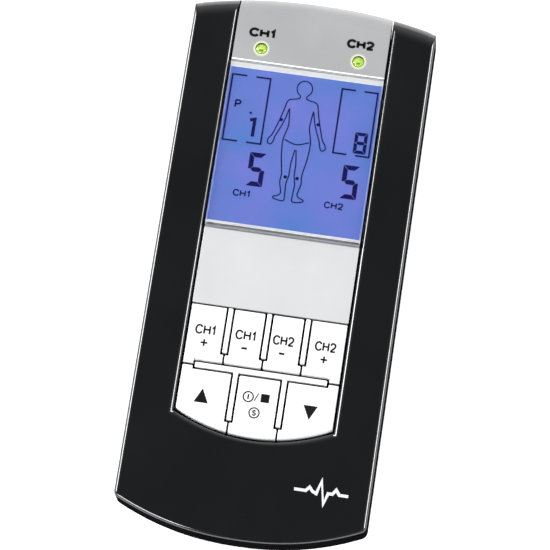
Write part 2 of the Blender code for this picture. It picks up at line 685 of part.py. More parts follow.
def switches():
    """Under each key a plunger, which reaches into the bore of a switch on the board."""
    half = SWITCH_SIZE / 2
    low = SWITCH_TOP_Z - PLUNGER_REACH
    high = KEY_LOW_Z - GAP
    for name, cell, (x, y) in key_table():
        plunger = cylinder((x, y, low), high - low, PLUNGER_RADIUS, segments=12)
        place("plunger_" + name, plunger, "black_matte", (x, y, high))
        housing = box((x - half, y - half, BOARD_TOP_Z + GAP), (x + half, y + half, SWITCH_TOP_Z))
        housing = place("switch_" + name, housing, "black_matte")
        bore = cylinder((x, y, SWITCH_TOP_Z - SWITCH_BORE_DEPTH), BAR, SWITCH_BORE_RADIUS, segments=12)
        boolean(housing, place("bore_" + name, bore))


# ---- electronics ----------------------------------------------------------------------------------

def main_board():
    corner = [
        (BOARD_END_HALF, BOARD_END_Y), (BOARD_END_HALF, BOARD_SHOULDER_Y), (BOARD_HALF, BOARD_SHOULDER_Y),
    ]
    right = corner + [(x, -y) for x, y in reversed(corner)]
    left = [(-x, y) for x, y in reversed(right)]
    board = place("main_pcb", prism(right + left, BOARD_LOW_Z, BOARD_TOP_Z), "board_green")
    hole = SCREW_SHANK_RADIUS + GAP
    holes = [cylinder((x, y, 0), BAR, hole, segments=16) for x, y in BOARD_SCREWS.values()]
    boolean(board, place("board_holes", join(*holes)))
    for name, (x, y) in BOARD_SCREWS.items():
        profile = [
            (0, BOARD_SCREW_LENGTH), (SCREW_SHANK_RADIUS, BOARD_SCREW_LENGTH), (SCREW_SHANK_RADIUS, 0),
            (BOARD_SCREW_HEAD_RADIUS, 0), (BOARD_SCREW_HEAD_RADIUS, -0.8 * MM),
            (0.64 * BOARD_SCREW_HEAD_RADIUS, -1.4 * MM), (0, -1.4 * MM),
        ]
        turned(name, profile, (x, y, BOARD_LOW_Z - GAP), "screw_steel", steps=12)


def indicator_lights():
    foot = BOARD_TOP_Z + GAP
    tip = LED_TIP_Z - foot
    flange = 1.25 * LED_RADIUS
    flange_top = 1.2 * MM
    dome = [
        (LED_RADIUS * math.sin(turn), tip - LED_RADIUS * 0.55 * (1 - math.cos(turn)))
        for turn in (math.pi / 2 * i / 4 for i in range(5))
    ]
    for name, x in (("led_ch1", -LED_X), ("led_ch2", LED_X)):
        profile = dome + [(LED_RADIUS, flange_top), (flange, flange_top), (flange, 0), (0, 0)]
        turned(name, profile, (x, LED_Y, foot), "led_green", steps=16)


def output_sockets():
    """Moulded sockets under the board. Each has a round nose with a recess round its centre pin."""
    nose_y = HALF_LENGTH - SOCKET_NOSE_END
    body_y = HALF_LENGTH - CAP_END_WALL - 1.5 * GAP
    for name, x in (("output_jack_ch1", -SOCKET_X), ("output_jack_ch2", SOCKET_X)):
        low = (x - SOCKET_BODY_HALF, body_y - SOCKET_BODY_LENGTH, SOCKET_BODY_LOW_Z)
        high = (x + SOCKET_BODY_HALF, body_y, BOARD_LOW_Z - GAP)
        socket = place(name, box(low, high), "black_matte")
        nose = cylinder((x, nose_y - SOCKET_NOSE_LENGTH, SOCKET_Z), SOCKET_NOSE_LENGTH, SOCKET_RADIUS, "Y")
        boolean(socket, place(name + "_nose", nose), "UNION")
        recess_y = nose_y - SOCKET_RECESS_DEPTH
        recess = cylinder((x, recess_y, SOCKET_Z), BAR, SOCKET_RECESS_RADIUS, "Y")
        boolean(socket, place(name + "_recess", recess))
        pin_y = recess_y - 1.0 * MM
        pin = cylinder((x, pin_y, SOCKET_Z), SOCKET_PIN_LENGTH, SOCKET_PIN_RADIUS, "Y", segments=12)
        boolean(socket, place(name + "_pin", pin), "UNION")


def centred_box(x, y, low, high, width, depth):
    return box((x - width / 2, y - depth / 2, low), (x + width / 2, y + depth / 2, high))


def board_components():
    """What hangs under the board: the two output transformers, the controller and the buzzer."""
    top = BOARD_LOW_Z - GAP
    for name, x in (("output_transformer_ch1", -TRANSFORMER_X), ("output_transformer_ch2", TRANSFORMER_X)):
        width, depth, height = CORE_SIZE
        core = centred_box(x, TRANSFORMER_Y, top - height, top, width, depth)
        transformer = place(name, core, "ferrite")
        width, depth, height = BOBBIN_SIZE
        bobbin = centred_box(x, TRANSFORMER_Y, top - 1.0 * MM - height, top - 1.0 * MM, width, depth)
        boolean(transformer, place(name + "_bobbin", bobbin), "UNION")
    width, depth, height = CHIP_SIZE
    place("microcontroller_chip", centred_box(0, CHIP_Y, top - height, top, width, depth), "black_matte")
    edge = 0.5 * MM
    sound_hole = 1.0 * MM
    profile = [
        (0, 0), (BUZZER_RADIUS - edge, 0), (BUZZER_RADIUS, -edge), (BUZZER_RADIUS, -BUZZER_HEIGHT),
        (sound_hole, -BUZZER_HEIGHT), (0, sound_hole - BUZZER_HEIGHT),
    ]
    turned("buzzer", profile, (0, BUZZER_Y, top), "black_matte")


# ---- batteries ------------------------------------------------------------------------------------

def cell(name, x, foot_y, nose):
    """A AAA cell. Its profile runs from the nose's tip to the foot."""
    edge = 0.4 * MM
    shoulder = CELL_LENGTH - CELL_NOSE_LENGTH
    profile = [
        (0, CELL_LENGTH), (CELL_NOSE_RADIUS, CELL_LENGTH), (CELL_NOSE_RADIUS, shoulder),
        (CELL_RADIUS - edge, shoulder), (CELL_RADIUS, shoulder - edge),
        (CELL_RADIUS, edge), (CELL_RADIUS - edge, 0), (0, 0),
    ]
    made = turned(name, profile, (x, foot_y, CELL_Z), "cell_label", "Y")
    if nose < 0:
        made.rotation_euler = (math.radians(90), 0, 0)


def battery_spring(name, x, start, end):
    """A tapered coil, wide at the bay's wall and narrow at the cell's foot."""
    wide, narrow = SPRING_RADII
    steps = 8 * SPRING_TURNS
    coil = []
    for i in range(steps + 1):
        share = i / steps
        turn = 2 * math.pi * SPRING_TURNS * share
        radius = wide + (narrow - wide) * share
        y = start + (end - start) * share
        coil.append((x + radius * math.cos(turn), y, CELL_Z + radius * math.sin(turn)))
    wire(name, coil, SPRING_WIRE_RADIUS, "spring_steel")


def batteries():
    """Three cells side by side, the middle one turned round, each with a spring and a contact plate."""
    for name, x, nose in (("left", -CELL_PITCH, 1), ("middle", 0.0, -1), ("right", CELL_PITCH, 1)):
        nose_wall = BAY_HIGH_Y if nose > 0 else BAY_LOW_Y
        foot_wall = BAY_LOW_Y if nose > 0 else BAY_HIGH_Y
        far = nose_wall - nose * GAP
        near = far - nose * CONTACT_THICKNESS
        contact = box(
            (x - CONTACT_HALF, min(near, far), CELL_Z - CONTACT_RISE),
            (x + CONTACT_HALF, max(near, far), CELL_Z + CONTACT_RISE),
        )
        place("contact_" + name, contact, "spring_steel")
        foot_y = near - nose * (GAP + CELL_LENGTH)
        cell("cell_" + name, x, foot_y, nose)
        room = GAP + SPRING_WIRE_RADIUS
        battery_spring("battery_spring_" + name, x, foot_wall + nose * room, foot_y - nose * room)


# ---- belt clip ------------------------------------------------------------------------------------

def clip_ear_spans():
    inner = CLIP_HALF + GAP
    return ((-inner - CLIP_EAR_WIDTH, -inner), (inner, inner + CLIP_EAR_WIDTH))


def belt_clip():
    """A lever on a cross pin: a flat arm with a hooked nose, a knuckle round the pin and a thumb pad."""
    knuckle = [
        (CLIP_PIVOT_Y + CLIP_KNUCKLE * math.cos(turn), CLIP_PIVOT_Z + CLIP_KNUCKLE * math.sin(turn))
        for turn in (math.radians(180 * i / 8) for i in range(9))
    ]
    nose_y = CLIP_NOSE_Y
    outline = [
        (nose_y, 1.0 * MM), (nose_y + 1.0 * MM, 0), (CLIP_THUMB_Y - 1.6 * MM, 0), (CLIP_THUMB_Y, 0.8 * MM),
        (CLIP_THUMB_Y, CLIP_THICKNESS), (CLIP_PIVOT_Y + CLIP_KNUCKLE, CLIP_THICKNESS), *knuckle,
        (CLIP_PIVOT_Y - CLIP_KNUCKLE, CLIP_THICKNESS), (nose_y + 4.0 * MM, CLIP_THICKNESS),
        (nose_y + 3.4 * MM, 5.8 * MM), (nose_y + 2.2 * MM, 6.5 * MM), (nose_y + 1.0 * MM, 5.8 * MM),
        (nose_y, 3.0 * MM),
    ]
    pivot = (0, CLIP_PIVOT_Y, CLIP_PIVOT_Z)
    clip = smooth(place("belt_clip", prism(outline, -CLIP_HALF, CLIP_HALF, "X"), "black_matte", pivot))
    notch = box(
        (-CLIP_NOTCH_HALF, CLIP_PIVOT_Y - 4 * MM, CLIP_THICKNESS),
        (CLIP_NOTCH_HALF, CLIP_PIVOT_Y + 4 * MM, BAR),
    )
    boolean(clip, place("spring_notch", notch))
    bore = cylinder((-BAR, CLIP_PIVOT_Y, CLIP_PIVOT_Z), 2 * BAR, CLIP_PIN_HOLE, "X")
    boolean(clip, place("clip_bore", bore))
    reach = CLIP_HALF + GAP + CLIP_EAR_WIDTH
    pin = cylinder((-reach, CLIP_PIVOT_Y, CLIP_PIVOT_Z), 2 * reach, CLIP_PIN_RADIUS, "X")
    place("clip_pin", pin, "screw_steel")


def clip_spring():
    """Torsion spring round the pin, with one leg along the case and one towards the thumb pad."""
    radius = CLIP_SPRING_RADIUS
    half = CLIP_SPRING_HALF
    steps = int(8 * CLIP_SPRING_TURNS)
    points = [(-half, CLIP_PIVOT_Y + 6 * MM, CLIP_PIVOT_Z + radius)]
    for i in range(steps + 1):
        turn = math.pi / 2 + 2 * math.pi * CLIP_SPRING_TURNS * i / steps
        x = -half + 2 * half * i / steps
        points.append((x, CLIP_PIVOT_Y + radius * math.cos(turn), CLIP_PIVOT_Z + radius * math.sin(turn)))
    points.append((half, CLIP_PIVOT_Y + 2 * radius, CLIP_PIVOT_Z - radius))
    wire("clip_spring", points, CLIP_SPRING_WIRE_RADIUS, "spring_steel")


front_case()
rear_case()
battery_door()
jack_end_cap()
case_screws()
display()
fascia()
key_frame()
keys()
switches()
main_board()
indicator_lights()
output_sockets()
board_components()
batteries()
belt_clip()
clip_spring()
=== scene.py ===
"""The looks of a two-channel TENS unit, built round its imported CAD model. Metres, +Z out of the face."""
import json
import math

import bmesh
import bpy
from mathutils import Matrix, Vector

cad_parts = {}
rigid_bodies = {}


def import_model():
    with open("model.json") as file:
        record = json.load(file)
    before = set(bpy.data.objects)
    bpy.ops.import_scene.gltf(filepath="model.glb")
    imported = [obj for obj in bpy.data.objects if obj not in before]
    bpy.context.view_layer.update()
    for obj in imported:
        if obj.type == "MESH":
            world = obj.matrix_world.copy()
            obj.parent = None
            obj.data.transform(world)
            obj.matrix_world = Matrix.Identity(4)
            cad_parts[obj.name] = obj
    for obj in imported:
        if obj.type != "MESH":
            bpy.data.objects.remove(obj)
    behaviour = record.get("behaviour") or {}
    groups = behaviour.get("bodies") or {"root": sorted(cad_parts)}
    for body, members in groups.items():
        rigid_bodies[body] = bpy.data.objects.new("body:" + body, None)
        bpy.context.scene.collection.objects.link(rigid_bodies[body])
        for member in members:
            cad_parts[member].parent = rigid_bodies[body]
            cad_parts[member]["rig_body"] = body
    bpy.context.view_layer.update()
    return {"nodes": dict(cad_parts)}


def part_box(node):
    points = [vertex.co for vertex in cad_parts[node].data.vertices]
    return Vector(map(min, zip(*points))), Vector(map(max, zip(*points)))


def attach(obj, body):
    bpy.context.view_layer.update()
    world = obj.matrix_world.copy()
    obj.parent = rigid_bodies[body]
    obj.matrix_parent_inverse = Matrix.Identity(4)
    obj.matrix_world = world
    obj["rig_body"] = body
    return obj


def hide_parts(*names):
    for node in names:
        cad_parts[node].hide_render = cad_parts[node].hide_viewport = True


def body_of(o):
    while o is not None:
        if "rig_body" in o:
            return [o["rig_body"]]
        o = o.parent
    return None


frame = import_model()

MM = 0.001
GAP = 0.3 * MM                   # the CAD's seams between outer pieces
BAR = 80.0 * MM                  # longer than half the case, for cutters that run right through

# Places read from the frame
FACE_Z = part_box("front_case")[1].z
PARTING_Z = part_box("front_case")[0].z - GAP / 2
BACK_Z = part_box("battery_door")[0].z
STRIP_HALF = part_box("silver_fascia")[1].x + GAP / 2
STRIP_TOP_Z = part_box("silver_fascia")[1].z
CAP_SEAM_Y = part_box("jack_end_cap")[0].y - GAP / 2
CAP_LOW_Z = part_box("jack_end_cap")[0].z
LENS_SEAM_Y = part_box("display_lens")[0].y - GAP / 2
KEYPAD_SEAM_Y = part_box("silver_fascia")[0].y - GAP / 2
GLASS_TOP_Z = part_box("lcd_glass")[1].z
LED_X = (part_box("led_ch2")[0].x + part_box("led_ch2")[1].x) / 2
LED_Y = (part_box("led_ch2")[0].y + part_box("led_ch2")[1].y) / 2
KEY_LOW_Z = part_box("key_up")[0].z

# Case shape, as in the CAD
HALF_WIDTH = 30.0 * MM
HALF_LENGTH = 66.6 * MM
LED_RADIUS = 1.45 * MM
SOCKET_X = 11.7 * MM
SOCKET_Z = 17.5 * MM
SOCKET_RADIUS = 3.2 * MM
WALL = 2.0 * MM
TOP_SAG = 3.6 * MM               # how far the socket end's arch falls at the sides
BOTTOM_SAG = 6.6 * MM
END_POWER = 2.2                  # how sharply both arches fall
TOP_CORNER_RADIUS = 3.0 * MM
BOTTOM_CORNER_RADIUS = 2.0 * MM
MIN_CORNER_RADIUS = 0.8 * MM
FRONT_DRAFT = 0.5 * MM
REAR_DRAFT = 0.9 * MM
RIM_RADIUS = 1.1 * MM            # the face's rounding
TOP_RIM_RADIUS = 5.5 * MM        # the same at the socket end
BACK_RIM_RADIUS = 2.5 * MM
STRIP_END_Y = -42.5 * MM
STRIP_SAG = 4.5 * MM
CAP_WALL = 0.9 * WALL
CAP_END_WALL = 3.7 * MM
WINDOW_RADIUS = 1.25 * MM        # rounding of the case round the strip

# Keypad shape. Keys and ribs are slimmer than the CAD's, so that the seams show as dark as they should
SEAM = 0.53 * MM                 # between a key and a rib
KEY_SEAM = 0.46 * MM             # between two keys
KEY_TOP_SEAM = 1.4               # how much wider the seams above the keys are than those beside them
KEY_EDGE = 0.25 * MM             # rounding of a key's edges
KEY_END_SLOPE = 1.4 * MM         # how far the keypad's arched lower edge slopes away
KEY_ROW_SLOPE = 0.85 * MM        # the same for the upper row's lower edge
KEY_SLOPE_DROP = 1.3 * MM
PLATE_THICKNESS = 0.7 * MM
PLATE_MARGIN = 1.4 * MM          # how far the near-black plate, painted shade at the bottom of the seams, reaches under the case
RIB_HALF = 0.52 * MM             # half the width of an upright rib
ROW_RIB_Y = -26.84 * MM
ROW_RIB_REACH = 0.6 * MM         # half the row rib's width
ROW_RIB_HALF = 15.6 * MM         # half its length
UPPER_RIB_X = 9.2 * MM
UPPER_RIB_END_Y = -23.2 * MM
LOWER_RIB_X = 5.8 * MM
LOWER_RIB_END_Y = -38.75 * MM


# ---- camera, lights and floor ----

def add_camera():
    """The photograph's view: from above the keypad end, a little to the right, turned clockwise."""
    target = Vector((-0.20, -3.15, 31.0)) * MM
    distance = 500 * MM
    swing = math.radians(3.24)
    tilt = math.radians(11.93)
    roll = math.radians(8.78)
    back = Vector((math.tan(swing), -math.tan(tilt), 1.0)).normalized()
    up = (Vector((0, 1, 0)) - back * back.y).normalized()
    right = up.cross(back)
    turned_right = right * math.cos(roll) + up * math.sin(roll)
    turned_up = up * math.cos(roll) - right * math.sin(roll)
    data = bpy.data.cameras.new("camera")
    data.sensor_width = 36.0
    data.lens = 138.8
    camera = bpy.data.objects.new("camera", data)
    bpy.context.scene.collection.objects.link(camera)
    turn = Matrix((turned_right, turned_up, back)).transposed().to_4x4()
    camera.matrix_world = Matrix.Translation(target + back * distance) @ turn
    bpy.context.scene.camera = camera


SOFTBOX_AIM = (0, 0, 0)
SOFTBOXES = (
    # name, place, size, watts
    ("left_softbox", (-0.85, 0.18, 0.44), (0.5, 0.26), 9.4),
    ("right_softbox", (0.85, 0.18, 0.44), (0.5, 0.26), 7.8),
    ("near_softbox", (-0.36, -0.71, 0.45), (0.34, 0.2), 4.6),
)
SKY_OVERHEAD = 0.1
SKY_LOBES = (
    # axis of the direction, its lowest value, power, strength
    ("X", -1.0, 2, 0.95),
    ("Y", 0.0, 4, 0.7),
)
FLOOR_HALF = 3.0
FLOOR_GLOW = 0.48                # lifts the floor to the photograph's plain white


def add_softbox(name, place, size, power):
    data = bpy.data.lights.new(name, "AREA")
    data.shape = "RECTANGLE"
    data.size, data.size_y = size
    data.energy = power
    light = bpy.data.objects.new(name, data)
    light.location = place
    light.rotation_euler = (Vector(SOFTBOX_AIM) - Vector(place)).to_track_quat("-Z", "Y").to_euler()
    bpy.context.scene.collection.objects.link(light)


def add_floor():
    bm = bmesh.new()
    bmesh.ops.create_grid(bm, x_segments=1, y_segments=1, size=FLOOR_HALF)
    floor = to_object("floor", bm)
    pale = Surface("floor", (0.95, 0.95, 0.95), 0.9)
    pale.set("Specular IOR Level", 0.0)
    pale.lit((1.0, 1.0, 1.0), FLOOR_GLOW)
    coat(floor, "floor")


def add_sky():
    """A sky that is dim overhead, and brighter low down at both sides and beyond the socket end."""
    world = bpy.data.worlds.new("studio")
    bpy.context.scene.world = world
    world.use_nodes = True
    nodes = world.node_tree.nodes
    links = world.node_tree.links
    coordinates = nodes.new("ShaderNodeTexCoord")
    split = nodes.new("ShaderNodeSeparateXYZ")
    links.new(coordinates.outputs["Generated"], split.inputs["Vector"])
    total = None
    for axis, lowest, power, strength in SKY_LOBES:
        value = split.outputs[axis]
        steps = (("MAXIMUM", lowest), ("POWER", power), ("MULTIPLY_ADD", strength, SKY_OVERHEAD))
        for operation, *numbers in steps:
            step = nodes.new("ShaderNodeMath")
            step.operation = operation
            links.new(value, step.inputs[0])
            for index, number in enumerate(numbers, 1):
                step.inputs[index].default_value = number
            value = step.outputs["Value"]
        if total:
            links.new(total, step.inputs[2])
        total = value
    links.new(total, nodes["Background"].inputs["Strength"])
    nodes["Background"].inputs["Color"].default_value = (1.0, 1.0, 1.0, 1.0)


def add_studio():
    add_floor()
    add_sky()
    for softbox in SOFTBOXES:
        add_softbox(*softbox)
    bpy.context.scene.view_settings.view_transform = "Standard"


# ---- materials ----

MATERIALS = {}


class Surface:
    """A Principled material with procedural colour, roughness and bump, in the object's own coordinates."""

    def __init__(self, name, colour, roughness, metallic=0.0):
        self.material = bpy.data.materials.new(name)
        MATERIALS[name] = self.material
        self.material.use_nodes = True
        self.nodes = self.material.node_tree.nodes
        self.links = self.material.node_tree.links
        self.shader = self.nodes["Principled BSDF"]
        self.set("Base Color", (*colour, 1.0))
        self.set("Roughness", roughness)
        self.set("Metallic", metallic)
        self.coordinates = self.nodes.new("ShaderNodeTexCoord")

    def set(self, socket, value):
        self.shader.inputs[socket].default_value = value
        return self

    def noise(self, size, detail=3.0, stretch=(1, 1, 1)):
        """Noise whose features are about that size, in metres."""
        mapping = self.nodes.new("ShaderNodeMapping")
        mapping.inputs["Scale"].default_value = [s / size for s in stretch]
        self.links.new(self.coordinates.outputs["Object"], mapping.inputs["Vector"])
        noise = self.nodes.new("ShaderNodeTexNoise")
        noise.inputs["Scale"].default_value = 1.0
        noise.inputs["Detail"].default_value = detail
        self.links.new(mapping.outputs["Vector"], noise.inputs["Vector"])
        return noise.outputs["Fac"]

    def tint(self, source, dark, light, low=0.3, high=0.7):
        """Colour that wanders between two values."""
        ramp = self.nodes.new("ShaderNodeValToRGB")
        ramp.color_ramp.elements[0].position = low
        ramp.color_ramp.elements[0].color = (*dark, 1.0)
        ramp.color_ramp.elements[1].position = high
        ramp.color_ramp.elements[1].color = (*light, 1.0)
        self.links.new(source, ramp.inputs["Fac"])
        self.links.new(ramp.outputs["Color"], self.shader.inputs["Base Color"])
        return ramp

    def gloss(self, source, low, high):
        """Roughness that wanders between two values."""
        span = self.nodes.new("ShaderNodeMapRange")
        span.inputs["From Min"].default_value = 0.3
        span.inputs["From Max"].default_value = 0.7
        span.inputs["To Min"].default_value = low
        span.inputs["To Max"].default_value = high
        self.links.new(source, span.inputs["Value"])
        self.links.new(span.outputs["Result"], self.shader.inputs["Roughness"])

    def bump(self, source, depth):
        bump = self.nodes.new("ShaderNodeBump")
        bump.inputs["Strength"].default_value = 1.0
        bump.inputs["Distance"].default_value = depth
        self.links.new(source, bump.inputs["Height"])
        self.links.new(bump.outputs["Normal"], self.shader.inputs["Normal"])

    def lit(self, colour, strength):
        """Light that the surface gives off."""
        self.set("Emission Color", (*colour, 1.0))
        self.set("Emission Strength", strength)


def speckled(name, dark, light, roughness, grain, depth, metallic=0.0):
    """A surface whose colour and gloss wander gently, with a fine moulded grain."""
    surface = Surface(name, light, sum(roughness) / 2, metallic)
    surface.tint(surface.noise(14 * MM, 4), dark, light)
    surface.gloss(surface.noise(5 * MM, 5), *roughness)
    surface.bump(surface.noise(grain, 2), depth)
    return surface


SPECKLED = (
    # name, darker and lighter colour, range of roughness, grain's size and depth in millimetres, metallic
    ("black_side", (0.0035, 0.0035, 0.004), (0.006, 0.006, 0.007), (0.5, 0.6), 0.3, 0.03),
    ("black_matte", (0.011, 0.011, 0.012), (0.017, 0.017, 0.019), (0.42, 0.58), 0.28, 0.03),
    ("black_socket", (0.008, 0.008, 0.009), (0.012, 0.012, 0.013), (0.25, 0.4), 0.3, 0.008),
    # near-black for the display gasket, and painted shade for the plate at the bottom of the keypad's seams
    ("black_backing", (0.002, 0.002, 0.002), (0.004, 0.004, 0.004), (0.6, 0.7), 0.3, 0.01),
    ("silver_plastic", (0.37, 0.375, 0.38), (0.41, 0.415, 0.42), (0.34, 0.44), 0.12, 0.004, 0.1),
    ("fascia_plastic", (0.58, 0.585, 0.59), (0.62, 0.625, 0.63), (0.3, 0.4), 0.12, 0.003, 0.05),
    ("key_white", (0.88, 0.885, 0.9), (0.93, 0.93, 0.94), (0.3, 0.42), 0.2, 0.004),
    ("white_plastic", (0.74, 0.74, 0.72), (0.82, 0.82, 0.8), (0.35, 0.5), 0.3, 0.01),
    ("print_dark", (0.005, 0.005, 0.006), (0.01, 0.01, 0.011), (0.5, 0.6), 0.1, 0.004),
    ("print_pale", (0.72, 0.73, 0.75), (0.8, 0.81, 0.83), (0.4, 0.5), 0.1, 0.004),
    ("board_green", (0.008, 0.09, 0.03), (0.015, 0.13, 0.05), (0.25, 0.35), 0.5, 0.02),
    ("conductive_rubber", (0.12, 0.12, 0.13), (0.2, 0.2, 0.21), (0.7, 0.85), 0.1, 0.02),
    ("ferrite", (0.02, 0.02, 0.022), (0.04, 0.04, 0.044), (0.5, 0.7), 0.2, 0.03),
    ("spring_steel", (0.55, 0.55, 0.54), (0.68, 0.68, 0.67), (0.15, 0.28), 0.2, 0.003, 1.0),
    ("screw_steel", (0.34, 0.34, 0.34), (0.5, 0.5, 0.51), (0.25, 0.4), 0.15, 0.006, 1.0),
    # pale border behind the lens, made to glow below: painted highlight of the lens's bright edges
    ("display_border", (0.8, 0.8, 0.77), (0.88, 0.88, 0.85), (0.35, 0.45), 0.2, 0.003),
    ("display_ink", (0.004, 0.004, 0.14), (0.006, 0.006, 0.2), (0.4, 0.5), 0.1, 0.002),
    ("led_dark", (0.09, 0.16, 0.0), (0.14, 0.22, 0.005), (0.3, 0.4), 0.2, 0.003),
    # pale greenish rings round the lamps: painted glow of the lamps' light on the cap
    ("led_halo", (0.6, 0.66, 0.45), (0.68, 0.73, 0.55), (0.35, 0.45), 0.3, 0.004),
    ("led_glow", (0.46, 0.47, 0.43), (0.52, 0.53, 0.48), (0.35, 0.45), 0.3, 0.004),
)
SPECULAR = {"black_side": 0.0, "black_backing": 0.05, "print_dark": 0.1, "display_ink": 0.1}
LIT = {
    # painted highlight: the display border glows so that the lens's edges show bright
    "display_border": ((1.0, 1.0, 0.97), 0.4),
    # painted glow: the rings round the lamps give off a little light, as the lamps' light on the cap
    "led_halo": ((0.9, 1.0, 0.75), 0.06),
    "led_glow": ((0.9, 1.0, 0.75), 0.03),
}


def make_materials():
    for name, dark, light, roughness, grain, depth, *metallic in SPECKLED:
        surface = speckled(name, dark, light, roughness, grain * MM, depth * MM, *metallic)
        if name in SPECULAR:
            surface.set("Specular IOR Level", SPECULAR[name])
        if name in LIT:
            surface.lit(*LIT[name])

    case = Surface("black_gloss", (0.005, 0.0052, 0.006), 0.1)
    case.tint(case.noise(30 * MM, 4), (0.004, 0.0042, 0.0052), (0.0065, 0.0068, 0.0082))
    case.gloss(case.noise(9 * MM, 6, (1, 0.5, 1)), 0.07, 0.14)
    case.bump(case.noise(1.6 * MM, 2), 0.0012 * MM)
    case.set("Specular IOR Level", 0.8)

    lens = Surface("clear_lens", (0.97, 0.98, 1.0), 0.02)
    lens.set("Transmission Weight", 1.0).set("IOR", 1.49)
    lens.gloss(lens.noise(12 * MM, 4), 0.01, 0.035)
    edge = Surface("lens_edge", (0.9, 0.92, 0.96), 0.35)
    edge.set("Transmission Weight", 1.0).set("IOR", 1.49)
    edge.gloss(edge.noise(3 * MM, 4), 0.3, 0.4)

    glass = Surface("display_blue", (0.1, 0.2, 0.55), 0.3)
    blue = glass.tint(glass.noise(16 * MM, 3), (0.075, 0.175, 0.49), (0.155, 0.17, 0.54))
    glass.links.new(blue.outputs["Color"], glass.shader.inputs["Emission Color"])
    glass.set("Emission Strength", 0.72)

    core = Surface("led_green", (0.45, 0.72, 0.0), 0.2)
    core.tint(core.noise(0.8 * MM, 2), (0.5, 0.74, 0.0), (0.6, 0.84, 0.01))
    core.lit((0.6, 0.85, 0.0), 0.42)
    dome = Surface("led_clear", (0.86, 1.0, 0.6), 0.06)
    dome.set("Transmission Weight", 0.85).set("IOR", 1.5)
    dome.gloss(dome.noise(1.0 * MM, 2), 0.03, 0.1)


def coat(piece, material):
    piece.data.materials.clear()
    piece.data.materials.append(MATERIALS[material])


# ---- shapes ----

def box(low, high):
    bm = bmesh.new()
    bmesh.ops.create_cube(bm, size=1.0)
    low = Vector(low)
    high = Vector(high)
    bmesh.ops.scale(bm, vec=high - low, verts=bm.verts)
    bmesh.ops.translate(bm, vec=(low + high) / 2, verts=bm.verts)
    return bm


AXIS_TURN = {
    "Y": Matrix.Rotation(math.radians(-90), 4, "X"),
    "Z": Matrix.Identity(4),
}


def rounding(steps):
    """A quarter turn, as steps of (how far in from the side, how far below the top) for a radius of one."""
    for i in range(steps + 1):
        turn = math.pi / 2 * i / steps
        yield 1 - math.cos(turn), 1 - math.sin(turn)


def cylinder(low, length, radius, axis="Z", segments=48):
    bm = bmesh.new()
    bmesh.ops.create_cone(bm, cap_ends=True, segments=segments, radius1=radius, radius2=radius, depth=length)
    bmesh.ops.translate(bm, vec=(0, 0, length / 2), verts=bm.verts)
    bmesh.ops.transform(bm, matrix=Matrix.Translation(low) @ AXIS_TURN[axis], verts=bm.verts)
    return bm


def prism(outline, start, end, axis="Z"):
    """Extrude a flat outline along Z or X. The outline's pairs are (x, y) or (y, z)."""
    lift = {
        "Z": lambda a, b, c: (a, b, c),
        "X": lambda a, b, c: (c, a, b),
    }[axis]
    bm = bmesh.new()
    face = bm.faces.new([bm.verts.new(lift(a, b, start)) for a, b in outline])
    extruded = bmesh.ops.extrude_face_region(bm, geom=[face])
    moved = [item for item in extruded["geom"] if isinstance(item, bmesh.types.BMVert)]
    bmesh.ops.translate(bm, vec=lift(0, 0, end - start), verts=moved)
    return bm


def loft(rings):
    """A closed skin over rings of points, each ring with the same number of points."""
    bm = bmesh.new()
    loops = [[bm.verts.new(point) for point in ring] for ring in rings]
    for lower, upper in zip(loops, loops[1:]):
        for i in range(len(lower)):
            j = (i + 1) % len(lower)
            bm.faces.new((lower[i], lower[j], upper[j], upper[i]))
    bm.faces.new(reversed(loops[0]))
    bm.faces.new(loops[-1])
    return bm


def join(*shapes):
    whole = bmesh.new()
    for shape in shapes:
        mesh = bpy.data.meshes.new("joined")
        shape.to_mesh(mesh)
        shape.free()
        whole.from_mesh(mesh)
        bpy.data.meshes.remove(mesh)
    return whole


def to_object(name, bm):
    bmesh.ops.recalc_face_normals(bm, faces=bm.faces)
    mesh = bpy.data.meshes.new(name)
    bm.to_mesh(mesh)
    bm.free()
    made = bpy.data.objects.new(name, mesh)
    bpy.context.scene.collection.objects.link(made)
    return made


def settle(piece):
    """Apply a piece's modifiers."""
    bpy.context.view_layer.update()
    mesh = bpy.data.meshes.new_from_object(piece.evaluated_get(bpy.context.evaluated_depsgraph_get()))
    piece.modifiers.clear()
    old = piece.data
    piece.data = mesh
    mesh.name = piece.name
    if old.users == 0:
        bpy.data.batch_remove([old])
    return piece


def carve(piece, *steps):
    """Apply booleans in order. Each step is (operation, bmesh), and its cutter is removed afterwards."""
    cutters = []
    for number, (operation, bm) in enumerate(steps):
        cutter = to_object(f"cutter_{number}", bm)
        cutters.append(cutter)
        modifier = piece.modifiers.new(cutter.name, "BOOLEAN")
        modifier.object = cutter
        modifier.operation = operation
        modifier.solver = "EXACT"
    settle(piece)
    for cutter in cutters:
        bpy.data.objects.remove(cutter, do_unlink=True)
    return piece


def soften(piece, width, segments=3, angle=40):
    """Round every edge sharper than the angle, and shade the piece smooth."""
    bevel = piece.modifiers.new("soften", "BEVEL")
    bevel.width = width
    bevel.segments = segments
    bevel.limit_method = "ANGLE"
    bevel.angle_limit = math.radians(angle)
    bevel.miter_outer = "MITER_ARC"
    settle(piece)
    return shade(piece)


def shade(piece, angle=42):
    piece.data.shade_smooth()
    piece.data.set_sharp_from_angle(angle=math.radians(angle))
    weighted = piece.modifiers.new("weighted", "WEIGHTED_NORMAL")
    weighted.keep_sharp = True
    return settle(piece)


def finish_piece(piece, material, *nodes, body="case"):
    """Coat a piece, ride it on its body, and let it stand for CAD nodes."""
    coat(piece, material)
    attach(piece, body)
    if nodes:
        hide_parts(*nodes)
    return piece


